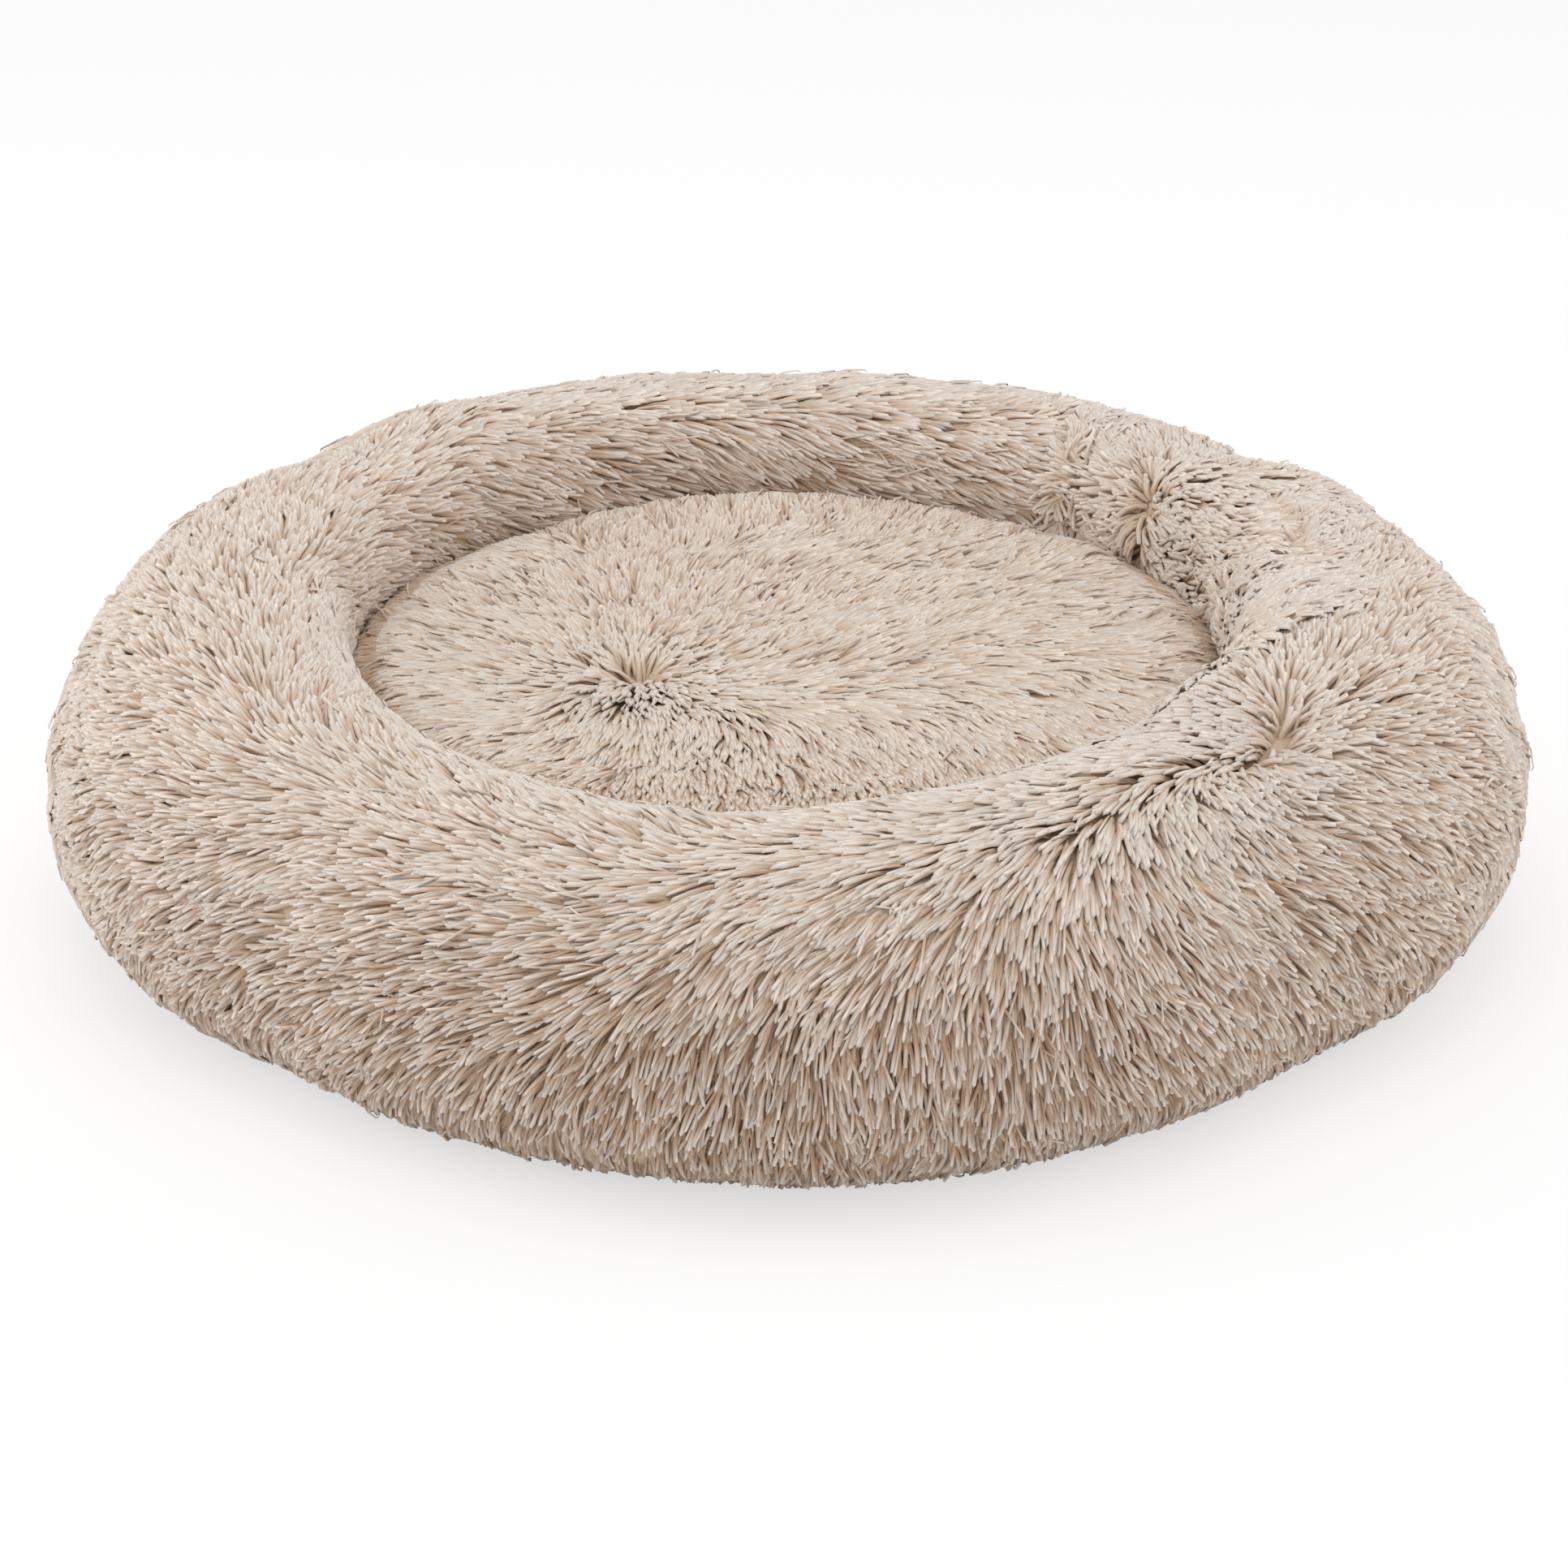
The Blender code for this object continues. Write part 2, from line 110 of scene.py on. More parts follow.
CREST_SHARE = 1 - CREST_SETBACK / RING_WIDTH
BASE_SEAM_RADIUS = BED_RADIUS - UNDER_TUCK
PANEL_SEAMS = {"back": (36, 144), "left": (144, 225), "front": (225, 315), "right": (315, 396)}
PANEL_STEP = 3
SECTION_STEPS = {"under": 12, "outer": 18, "inner": 12}
STUFFING_LUMPS = ((0.11, 0.0022), (0.045, 0.0015))
LUMP_WAVES = 9
LUMP_WAVE_SHARES = (0.6, 1.4)
CUT_EDGE_ANGLE = math.radians(50)
FELT_KNOT = 0.0012


def lobes(angle, lobe_shares):
    """A smooth wave round the bed, as a share of the size that it changes."""
    return sum(share * np.cos(count * (angle - math.radians(peak)))
               for count, peak, share in lobe_shares)


def moulded(angle, radius, height):
    """Where a point of a plain round ring is on the stuffed one."""
    outward = np.clip((radius - INNER_RADIUS) / RING_WIDTH, 0, 1)
    inner_rise = np.maximum(height - NEST_SEAM_HEIGHT, 0) / (RING_HEIGHT - NEST_SEAM_HEIGHT)
    outer_rise = (height / RING_HEIGHT) ** 2
    rise = inner_rise + (outer_rise - inner_rise) * np.minimum(outward / CREST_SHARE, 1)
    pull = np.zeros_like(angle)
    for first, _ in PANEL_SEAMS.values():
        off = np.remainder(angle - math.radians(first) + math.pi, 2 * math.pi) - math.pi
        pull = np.maximum(pull, np.exp(-((off / SEAM_DRAW_SPREAD) ** 2)))
    radius = radius + outward * (BED_RADIUS * lobes(angle, RADIUS_LOBE_SHARES) - SEAM_DRAW * pull)
    height = height + rise * (RING_HEIGHT * lobes(angle, HEIGHT_LOBE_SHARES) - SEAM_DRAW * pull)
    return np.stack([radius * np.cos(angle), radius * np.sin(angle), height], axis=-1)


def quarter(centre, reach, power, count, rising=True):
    """A rounded quarter of a section: from straight below the centre out to level with it."""
    turn = np.linspace(0, math.pi / 2, count + 1)
    along, up = np.sin(turn) ** (2 / power), np.cos(turn) ** (2 / power)
    if not rising:
        along, up = up, -along
    return np.stack([centre[0] + reach[0] * along, centre[1] - reach[1] * up], axis=-1)


def unit(vectors):
    return vectors / np.maximum(np.linalg.norm(vectors, axis=-1, keepdims=True), 1e-9)


def set_in(line, depths):
    """The same line of a section, each point moved to its left by its own depth."""
    way = unit(np.gradient(line, axis=0))
    return line + np.stack([-way[:, 1], way[:, 0]], axis=-1) * depths[:, None]


crest_radius = BED_RADIUS - CREST_SETBACK
under = quarter((BASE_SEAM_RADIUS, WIDEST_HEIGHT), (UNDER_TUCK, WIDEST_HEIGHT - SEAM_GAP),
                UNDER_POWER, SECTION_STEPS["under"])
outer = quarter((crest_radius, WIDEST_HEIGHT), (CREST_SETBACK, RING_HEIGHT - WIDEST_HEIGHT),
                OUTER_POWER, SECTION_STEPS["outer"], rising=False)
inner = quarter((crest_radius, RING_HEIGHT - CREST_DROP),
                (INNER_RADIUS - crest_radius, -CREST_DROP), 2, SECTION_STEPS["inner"])
ring_line = np.concatenate([under[:-1], outer[:-1], inner, [(INNER_RADIUS, NEST_SEAM_HEIGHT)]])
ring_depths = np.full(len(ring_line), FUR_THICKNESS)
ring_depths[:len(under)] = np.linspace(FUR_SEAM_THICKNESS, FUR_THICKNESS, len(under))


def waves(length):
    """A smooth unevenness between about -1 and 1, with bumps of this length."""
    ways = unit(random.normal(size=(LUMP_WAVES, 3))) / length
    ways = ways * random.uniform(*LUMP_WAVE_SHARES, (LUMP_WAVES, 1))
    starts = random.uniform(0, 2 * math.pi, LUMP_WAVES)
    return lambda places: np.sin(places @ ways.T * 2 * math.pi + starts).sum(axis=1) * 2 / LUMP_WAVES


random = np.random.default_rng(7)
lumps = [(height, waves(length)) for length, height in STUFFING_LUMPS]


def lumpiness(places):
    """How far the stuffing under these places bulges out."""
    return sum(height * lump(places) for height, lump in lumps)


def linear(hex_colour):
    """An sRGB hex colour as linear red, green, blue and alpha."""
    parts = [int(hex_colour[i:i + 2], 16) / 255 for i in (1, 3, 5)]
    return (*[p / 12.92 if p <= 0.04045 else ((p + 0.055) / 1.055) ** 2.4 for p in parts], 1)


def add(material, kind, settings, inputs):
    """Adds a node. Each input, 6 and 7 being the two colours of a mix, is set to a value or linked."""
    node = material.node_tree.nodes.new(kind)
    for name, value in settings.items():
        setattr(node, name, value)
    for name, value in inputs.items():
        if isinstance(value, bpy.types.NodeSocket):
            material.node_tree.links.new(value, node.inputs[name])
        else:
            node.inputs[name].default_value = value
    return node


def new_material(name):
    made = bpy.data.materials.new(name)
    made.use_nodes = True
    made.node_tree.nodes.clear()
    return made


def patterned(name):
    """A new material, and the object's own coordinates, on which its patterns lie."""
    made = new_material(name)
    return made, add(made, "ShaderNodeTexCoord", {}, {}).outputs["Object"]


def closed(material, shader):
    add(material, "ShaderNodeOutputMaterial", {}, {"Surface": shader.outputs[0]})
    return material


def two_toned(material, pattern, tones, height, strength, depth, shader):
    """Closes a material that goes between two tones over a pattern, with this height as its relief."""
    tone = add(material, "ShaderNodeMix", {"data_type": "RGBA"}, {
        "Factor": pattern, 6: tones[0], 7: tones[1]})
    relief = add(material, "ShaderNodeBump", {}, {
        "Height": height, "Strength": strength, "Distance": depth})
    return closed(material, add(material, "ShaderNodeBsdfPrincipled", {}, {
        "Base Color": tone.outputs[2], "Normal": relief.outputs[0], **shader}))


def felted(name, tones):
    """Felted polyester underpile: dull, in the beige of the pile's roots, matted into small knots."""
    felt, place = patterned(name)
    knots = add(felt, "ShaderNodeTexVoronoi", {}, {"Vector": place, "Scale": 1 / FELT_KNOT})
    knots = knots.outputs["Distance"]
    return two_toned(felt, knots, tones, knots, 0.6, FELT_KNOT / 3, {"Roughness": 0.9})


ring_felt = felted("felted polyester underpile of the ring", (linear("#D9C3AC"), linear("#C3A98E")))


def spun(bm, turn, steps, merged=False):
    """Spins the whole of a section about the bed's middle."""
    bmesh.ops.spin(bm, geom=bm.verts[:] + bm.edges[:] + bm.faces[:], cent=(0, 0, 0), axis=(0, 0, 1),
                   dvec=(0, 0, 0), angle=turn, steps=steps, use_merge=merged, use_duplicate=False)


def mesh_piece(name, bm, material):
    mesh = bpy.data.meshes.new(name)
    bm.to_mesh(mesh)
    bm.free()
    mesh.materials.append(material)
    mesh.shade_smooth()
    return placed(name, mesh)


def mould_verts(bm):
    places = np.array([vert.co for vert in bm.verts])
    angle = np.arctan2(places[:, 1], places[:, 0])
    for vert, place in zip(bm.verts, moulded(angle, np.hypot(places[:, 0], places[:, 1]), places[:, 2])):
        vert.co = place


backing_out = set_in(ring_line, ring_depths * (1 - UNDERPILE_SHARE))
backing_in = set_in(ring_line, ring_depths)
ring_backings = []
for side, (first, last) in PANEL_SEAMS.items():
    start = math.radians(first) + SEAM_GAP / 2 / INNER_RADIUS
    sweep = math.radians(last - first) - SEAM_GAP / INNER_RADIUS
    bm = bmesh.new()
    section = [bm.verts.new((r * math.cos(start), r * math.sin(start), z))
               for r, z in np.concatenate([backing_out, backing_in[::-1]])]
    bm.faces.new(section)
    spun(bm, sweep, (last - first) // PANEL_STEP)
    mould_verts(bm)
    bmesh.ops.recalc_face_normals(bm, faces=bm.faces[:])
    backing = mesh_piece("ring_backing_" + side, bm, ring_felt)
    backing.data.set_sharp_from_angle(angle=CUT_EDGE_ANGLE)
    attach(backing, "bed")
    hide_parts("ring_fur_" + side)
    ring_backings.append(backing)

# The nest's backing
# A round of the same cloth and underpile over the cushion. Its edge turns down to the seam where
# the ring's inner edge is sewn to it.
NEST_SIDE_HEIGHT = 0.013
NEST_CROWN_RISE = 0.004
NEST_SHOULDER = 0.026
NEST_UNDERPILE_SHARE = 0.72
NEST_GAP = 0.0006
NEST_STEPS = 120
SHOULDER_STEPS = 10
CROWN_STEPS = 12


def drawn(bm, line):
    """Draws a section's line, as edges from point to point."""
    verts = [bm.verts.new((r, 0, z)) for r, z in line]
    for pair in zip(verts, verts[1:]):
        bm.edges.new(pair)


nest_edge = INNER_RADIUS - NEST_GAP
nest_flat = nest_edge - NEST_SHOULDER
shoulder_top = NEST_SEAM_HEIGHT + NEST_SIDE_HEIGHT + NEST_SHOULDER
shoulder = quarter((nest_flat, shoulder_top - NEST_SHOULDER),
                   (NEST_SHOULDER, -NEST_SHOULDER), 2, SHOULDER_STEPS)
crown_out = np.linspace(1, 0, CROWN_STEPS + 1)[1:]
crown = np.stack([nest_flat * crown_out, shoulder_top + NEST_CROWN_RISE * (1 - crown_out ** 2)], axis=-1)
nest_line = np.concatenate([[(nest_edge, NEST_SEAM_HEIGHT)], shoulder[::-1], crown])
nest_depths = np.full(len(nest_line), FUR_THICKNESS)
nest_out = set_in(nest_line, nest_depths * (1 - NEST_UNDERPILE_SHARE))
nest_in = set_in(nest_line, nest_depths)
nest_out[-1, 0] = nest_in[-1, 0] = 0
bm = bmesh.new()
drawn(bm, np.concatenate([nest_out[::-1], nest_in]))
spun(bm, 2 * math.pi, NEST_STEPS, merged=True)
bmesh.ops.remove_doubles(bm, verts=bm.verts[:], dist=NEST_GAP / 60)
for vert, lift in zip(bm.verts, lumpiness(np.array([vert.co for vert in bm.verts]))):
    vert.co.z += lift
bmesh.ops.recalc_face_normals(bm, faces=bm.faces[:])
# The nest's underpile is a little paler than the ring's: painted light in the deep gaps of its pile
nest_felt_painted_paler = felted("felted polyester underpile of the nest", (linear("#DCC8B4"), linear("#C9AE94")))
nest_backing = mesh_piece("nest_backing", bm, nest_felt_painted_paler)
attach(nest_backing, "bed")
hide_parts("nest_fur")

# The ring's pile
# Long polyester pile in blunt tufts 2.5 to 4 mm wide, rooted in the underpile and leaning over each
# other. It was brushed by hand, so its lie turns from place to place and parts in whorls.
TUFT_SPACING = 0.0040
SCATTER_ACROSS = 0.32
SCATTER_ALONG = 0.38
FILL_SHARE = 1.5
TUFT_LENGTH = 0.030
TUFT_WIDTH = 0.0038
TUFT_RIDGE_SHARES = (0.40, 0.75)
TUFT_BELLY_SHARE = 1.1
TUFT_BEND = 0.0022
TIP_DROOP = 0.0010
TUFT_ROLL = math.radians(8)
TUFT_LENGTH_SHARES = (0.82, 1.12)
TUFT_WIDTH_RANGE_SHARES = (0.8, 1.25)
TIP_JITTER = 0.0002
BRUSH_UNEVENNESS = math.radians(10)
BRUSH_PATCH = 0.06
TUFT_UNEVENNESS = math.radians(6)
STRAY_TURN = math.radians(16)
STRAY_SHARE = 0.06
STRAY_RISE = 0.0028
STRAY_WIDTH_SHARE = 0.55
PARTING_TURN = math.radians(18)
PARTING_REACH_SHARE = 0.5
PARTING_SHARPNESS = 1.3
STANDING_SHARE = 0.5
PARTED_STANDING_SHARE = 0.6
LEAST_RISE = 0.001
ROUNDING_SHARE = 0.8
UNDERSIDE_SHARE = 0.6
TUFT_FLATTENING = 2.2
TUFT_LEAN_POWER = 1.15
LOCK_SPACING = 0.009
LOCK_GATHERING = (0.15, 0.6)
GATHERING_POWER = 1.5
CALM_GATHERING_SHARE = 0.25
LOCK_TURN = math.radians(7)
LOCK_UNEVENNESS = 0.0004
LOOSE_SHARE = 5.0
LOOSE_POWER = 1.5
BACK_WALL_SHARE = 0.5
EVEN_TINT = 0.8
PAINTED_SHADE_TINT_SHARE = 0.65
PARTED_PALER = 0.25
TINT_PATCH = 0.05
PATCH_TINTS = 0.1
TUFT_TINTS = 0.08
LOCK_TINTS = 0.1
LOOSE_WIDTH_SHARE = 0.68
PARTED_WIDTH_SHARE = 1.1
PARTED_RISE_SHARE = 0.8
ROOT_OVERLAP = 0.0003
GROOVE_DEPTH = 0.010
INNER_WALL_START = 0.7
FLOOR_CLEARANCE = 0.0005
TUFT_SHARES = (0.0, 0.3, 0.62, 0.93, 1.0)
TUFT_WIDTH_SHARES = (0.8, 0.95, 1.0, 0.85)
TINTS = 24
MAP_MARGIN = 0.08
FIBRES_ACROSS = 4.5
FIBRES_ALONG = 3
FIBRE_TONES = (0.74, 1.09)
FIBRE_RELIEF = 0.0002
PILE_STOPS = (0, 0.5, 0.7, 0.88)
BATCH = 20000

# Strokes of the brush that the photograph shows: a pixel, and the way the tufts' tips lie from it
RING_STROKES = (
    # back, over the crest and on the inner wall, from left to right
    (330, 690, 0, -1), (350, 640, 0.1, -1), (300, 640, -0.1, -1), (440, 560, 0.2, -1), (390, 580, 0.1, -1),
    (400, 650, 0.2, -1), (470, 620, 0.7, -0.6), (520, 535, 0.7, -0.7), (560, 560, 0.9, -0.3),
    (620, 525, 0.95, -0.3), (540, 610, 1, -0.05), (480, 670, 0.9, -0.1), (620, 570, 1, 0.3),
    (670, 590, 0.95, 0.4), (600, 620, 0.95, 0.35), (540, 650, 1, 0.2), (700, 500, 1, -0.2),
    (720, 540, 1, 0.1), (740, 580, 1, 0.35), (800, 480, 1, -0.25), (820, 520, 1, 0.1),
    (830, 565, 0.95, 0.35), (900, 470, 1, -0.25), (900, 510, 1, -0.1), (910, 550, 0.8, 0.5),
    (940, 565, 0.8, 0.6), (985, 490, 0.6, -0.8), (1000, 540, 0.85, 0.5), (1060, 480, 1, -0.05),
    (1050, 520, 1, 0.1), (1070, 565, 0.9, 0.4), (1150, 490, 1, 0), (1160, 540, 0.95, 0.25),
    (1160, 590, 0.95, 0.3), (1230, 500, 0.95, -0.35), (1250, 550, 0.95, 0.3), (1240, 600, 0.9, 0.4),
    (1300, 510, 0.8, -0.5), (1310, 560, 1, -0.1), (1310, 610, 0.9, 0.4),
    # right of the crease at the right back
    (1372, 600, -1, -0.05), (1372, 640, -1, 0.3), (1385, 665, -0.8, 0.6), (1390, 560, -0.7, -0.7),
    (1420, 550, -0.1, -1), (1400, 520, 0.2, -1), (1455, 590, 0.8, -0.4), (1490, 605, 1, 0.3),
    (1470, 640, 1, 0.15), (1420, 650, 0.9, 0.3), (1520, 590, 0.4, -0.9), (1480, 545, 0.1, -1),
    (1560, 570, 0.1, -1), (1500, 660, 1, 0.05), (1560, 625, 0.85, 0.3), (1560, 675, 1, 0.15),
    (1480, 700, 1, 0), (1560, 715, 1, 0.1), (1620, 720, 1, 0.1), (1610, 640, 0.6, -0.7),
    (1640, 615, 0.3, -0.95), (1650, 690, 0.3, -0.9), (1700, 665, 0.7, -0.7), (1740, 690, 0.85, -0.5),
    (1520, 770, -1, 0.35), (1570, 750, 0.5, -0.6), (1690, 740, 0.4, -0.9),
    # right, out of the whorl near the crest
    (1540, 815, -0.6, -0.8), (1600, 800, 0, -1), (1650, 815, 0.45, -0.9), (1700, 830, 0.8, -0.6),
    (1700, 780, 0.6, -0.8), (1750, 790, 0.85, -0.5), (1780, 730, 1, -0.15), (1800, 780, 0.9, 0.45),
    (1840, 850, 0.7, 0.7), (1700, 870, 1, -0.1), (1760, 860, 1, -0.05), (1770, 910, 1, 0.2),
    (1650, 900, 1, 0.05), (1710, 930, 1, 0.2), (1650, 950, 1, 0.35), (1800, 960, 0.85, 0.5),
    (1835, 1010, 0.7, 0.7), (1500, 850, -0.9, -0.4), (1450, 880, -1, -0.2), (1530, 890, -1, 0.1),
    (1400, 910, -1, -0.15), (1480, 930, -1, 0), (1600, 860, 0, -1), (1640, 865, 0.9, -0.4),
    # right front, fanned out below the parting
    (1600, 985, 0.95, 0.4), (1700, 1000, 0.9, 0.5), (1750, 1060, 0.8, 0.6), (1600, 1050, 0.9, 0.45),
    (1660, 1110, 0.85, 0.55), (1550, 1020, 0.9, 0.45), (1500, 1020, 0.75, 0.65), (1450, 1035, 0.6, 0.8),
    (1400, 1040, 0.3, 0.95), (1345, 1040, -0.3, 0.95), (1500, 1100, 0.75, 0.65), (1550, 1150, 0.75, 0.65),
    (1450, 1160, 0.6, 0.8), (1400, 1150, 0.5, 0.85), (1350, 1110, 0.25, 1), (1300, 1100, 0.05, 1),
    (1300, 1160, 0.2, 1), (1250, 1110, -0.25, 1), (1200, 1110, -0.6, 0.8), (1150, 1090, -0.8, 0.55),
    (1200, 1065, -0.9, 0.4), (1280, 1030, -0.9, 0.35), (1100, 1160, -0.6, 0.8), (1150, 1160, -0.4, 0.9),
    (1200, 1190, -0.2, 1), (1250, 1210, 0.05, 1), (1300, 1230, 0.3, 0.95), (1350, 1210, 0.4, 0.9),
    (1400, 1260, 0.5, 0.85), (1450, 1290, 0.6, 0.8), (1500, 1210, 0.65, 0.75), (1550, 1260, 0.6, 0.8),
    (1600, 1210, 0.7, 0.7), (1600, 1280, 0.6, 0.8), (1650, 1220, 0.65, 0.75), (1700, 1160, 0.7, 0.7),
    (1760, 1150, 0.7, 0.7), (1810, 1100, 0.7, 0.7), (1700, 1240, 0.55, 0.85), (1800, 1180, 0.6, 0.8),
    (1500, 1330, 0.3, 0.95), (1440, 1350, 0.4, 0.9), (1370, 1330, 0.45, 0.9), (1300, 1300, 0.1, 1),
    (1320, 1380, 0.2, 1), (1240, 1350, 0.05, 1), (1200, 1290, -0.05, 1),
    # front, below the parting
    (1100, 1250, -0.1, 1), (1100, 1340, 0, 1), (1100, 1420, 0, 1), (1000, 1210, -0.4, 0.9),
    (1000, 1110, -0.9, 0.4), (1050, 1160, -0.6, 0.8), (940, 1110, -0.9, 0.35), (950, 1160, -0.75, 0.65),
    (900, 1200, -0.6, 0.8), (950, 1260, -0.2, 1), (1000, 1310, -0.05, 1), (1000, 1400, 0.05, 1),
    (900, 1310, -0.15, 1), (900, 1400, -0.1, 1), (850, 1260, -0.35, 0.95), (830, 1190, -0.8, 0.6),
    (780, 1165, -0.9, 0.35), (760, 1210, -0.8, 0.6), (720, 1160, -0.95, 0.2), (690, 1210, -0.8, 0.6),
    (800, 1310, -0.35, 0.95), (800, 1400, -0.15, 1), (750, 1280, -0.55, 0.85), (700, 1310, -0.6, 0.8),
    (700, 1390, -0.35, 0.95), (870, 1105, -0.55, 0.85), (900, 1095, -0.5, 0.85),
    # front crest
    (1400, 975, -1, 0.2), (1300, 950, -1, -0.2), (1300, 990, -1, 0), (1200, 970, -1, -0.1),
    (1200, 1015, -1, 0.05), (1100, 1000, -1, -0.05), (1100, 1045, -1, 0.05), (1000, 1010, -1, -0.1),
    (1000, 1050, -1, 0.1), (900, 1010, -1, -0.2), (900, 1045, -1, -0.05), (850, 1060, -1, -0.1),
    (800, 1100, -1, 0), (750, 1080, -1, -0.05), (700, 1060, -1, -0.2), (720, 1030, -0.9, -0.4),
    (780, 1000, -0.6, -0.8), (650, 1000, -0.75, -0.65), (830, 1025, -0.8, -0.5),
    # left front
    (640, 1165, -1, 0), (620, 1230, -1, 0.25), (600, 1080, -1, 0), (550, 1060, -1, 0), (550, 1130, -1, 0),
    (570, 1200, -1, 0.1), (500, 1180, -1, 0.1), (560, 1260, -0.95, 0.35), (500, 1030, -1, -0.2),
    (450, 1060, -1, 0.2), (450, 1150, -1, 0.25), (350, 1060, -1, 0.05), (350, 1150, -1, 0.3),
    (420, 1230, -0.9, 0.5), (480, 1290, -0.8, 0.6), (400, 1010, -1, -0.05), (350, 980, -1, -0.15),
    (420, 1320, -0.6, 0.8), (520, 1340, -0.6, 0.8), (640, 1320, -0.7, 0.7), (600, 1380, -0.5, 0.85),
    (340, 1260, -0.7, 0.7), (260, 1220, -0.85, 0.6), (180, 1180, -0.9, 0.5), (130, 1120, -0.9, 0.45),
    (90, 1050, -0.95, 0.35), (260, 1130, -1, 0.25), (220, 1040, -1, 0.05), (90, 950, -1, 0.2),
    (200, 960, -1, 0), (110, 860, -1, 0.35), (200, 870, -1, 0),
    # left crest, and where its pile parts
    (300, 900, -0.8, -0.5), (330, 860, -0.55, -0.85), (400, 930, -0.75, -0.6), (450, 900, -0.45, -0.9),
    (460, 980, -0.9, -0.4), (530, 950, -0.55, -0.85), (550, 995, -0.8, -0.5), (600, 940, -0.2, -1),
    (500, 900, 0.1, -1), (560, 925, 0, -1), (150, 800, -1, 0.2), (180, 750, -0.95, -0.2),
    (250, 770, -0.8, -0.55), (240, 700, -0.5, -0.85), (300, 790, -0.65, -0.75), (370, 830, 0.7, -0.6),
    (395, 780, 0.9, -0.2), (350, 740, 0.1, -1), (410, 720, 0.9, 0.2), (430, 760, 1, 0.1),
    (420, 850, 0.5, -0.85), (250, 640, -0.4, -0.9), (200, 690, -0.6, -0.8), (140, 740, -0.9, -0.4),
)
# Strokes on the sides that the photograph doesn't show: the angle round the bed, the share of the
# way from the base seam to the nest seam, and the turn from straight down, anticlockwise
UNSEEN_STROKES = (
    (20, 0.25, 25), (50, 0.25, -20), (75, 0.25, -35), (100, 0.25, -20), (125, 0.25, 15), (150, 0.25, 30),
    (35, 0.45, 10), (65, 0.45, -40), (90, 0.45, -30), (115, 0.45, -25), (140, 0.45, 20), (10, 0.1, 20),
    (45, 0.1, -5), (80, 0.1, -15), (115, 0.1, 0), (150, 0.1, 10), (185, 0.1, 15), (215, 0.1, -10),
    (245, 0.1, 5), (275, 0.1, 0), (305, 0.1, -5), (335, 0.1, 15), (200, 0.85, -60), (230, 0.88, -75),
    (260, 0.9, -80), (290, 0.9, -85), (320, 0.88, -70), (345, 0.88, -40),
)
# Pixels along the crease at the right of the back, from the outline down the inner wall
CREASE = ((1350, 505), (1364, 531), (1360, 560), (1356, 590), (1352, 620), (1347, 650), (1346, 680))
# Pixels along the ridge where the pile stands up beside the parting, at the right of the front
RING_RIDGE = ((1640, 835), (1560, 868), (1480, 925), (1390, 975), (1290, 1012))
RIDGE_HEIGHT = 0.003
RIDGE_WIDTH = 0.016
CREASE_DEPTH = 0.005
CREASE_WIDTH = 0.007
STROKE_STEP = 8
STROKE_REACH = 0.021
UNSEEN_REACH = 0.045
REST_WEIGHT = 0.015


def lengths_along(line):
    return np.concatenate([[0], np.cumsum(np.linalg.norm(np.diff(line, axis=0), axis=1))])


def dot(a, b):
    return (a * b).sum(axis=-1, keepdims=True)


ring_marks = lengths_along(ring_line)
ring_out = ring_line - set_in(ring_line, ring_depths)


def ring_place(angle, along):
    """Where the tips of the ring's pile end, this far up its section from the base seam."""
    line = [np.interp(along, ring_marks, values) for values in (*ring_line.T, *ring_out.T)]
    plain = np.stack([line[0] * np.cos(angle), line[0] * np.sin(angle), line[1]], axis=-1)
    lift = lumpiness(plain) / FUR_THICKNESS
    return moulded(angle, line[0] + line[2] * lift, line[1] + line[3] * lift)


def slopes(place, first, second, step=0.0005):
    """How a surface runs at these places: its two slopes, and its normal."""
    by_first = (place(first + step, second) - place(first - step, second)) / (2 * step)
    by_second = (place(first, second + step) - place(first, second - step)) / (2 * step)
    return by_first, by_second, unit(np.cross(by_first, by_second))


def scattered(line, spacing):
    """Angles and distances along a spun line, one for each spacing squared of its surface."""
    marks = lengths_along(line)
    rows = int(marks[-1] / spacing)
    angles, alongs = [], []
    for row in range(rows):
        middle = marks[-1] * (row + 0.5) / rows
        count = max(int(2 * math.pi * np.interp(middle, marks, line[:, 0]) / spacing), 3)
        steps = np.arange(count) + random.uniform(-SCATTER_ACROSS, SCATTER_ACROSS, count) + row % 2 / 2
        angles.append(steps / count * 2 * math.pi)
        alongs.append(middle + random.uniform(-SCATTER_ALONG, SCATTER_ALONG, count) * spacing)
    return np.concatenate(angles), np.concatenate(alongs)


def brushed(strokes, backings):
    """Places and ways of strokes drawn on the photograph, carried onto the pieces that it shows."""
    bm = bmesh.new()
    for backing in backings:
        bm.from_mesh(backing.data)
    tree = BVHTree.FromBMesh(bm)
    bm.free()
    places, ways = [], []
    for x, y, right, down in strokes:
        hit, normal, _, _ = tree.ray_cast(camera.location, sight_line(x, y))
        if hit is None:
            continue
        ahead = camera.location + sight_line(x + right * STROKE_STEP, y + down * STROKE_STEP)
        reached = geometry.intersect_line_plane(camera.location, ahead, hit, normal)
        places.append(hit)
        ways.append((reached - hit).normalized())
    return np.array(places), np.array(ways)


def traced(pixels, backings):
    """The places on the pieces that these pixels of the photograph show."""
    return brushed([(*pixel, 1, 0) for pixel in pixels], backings)[0]


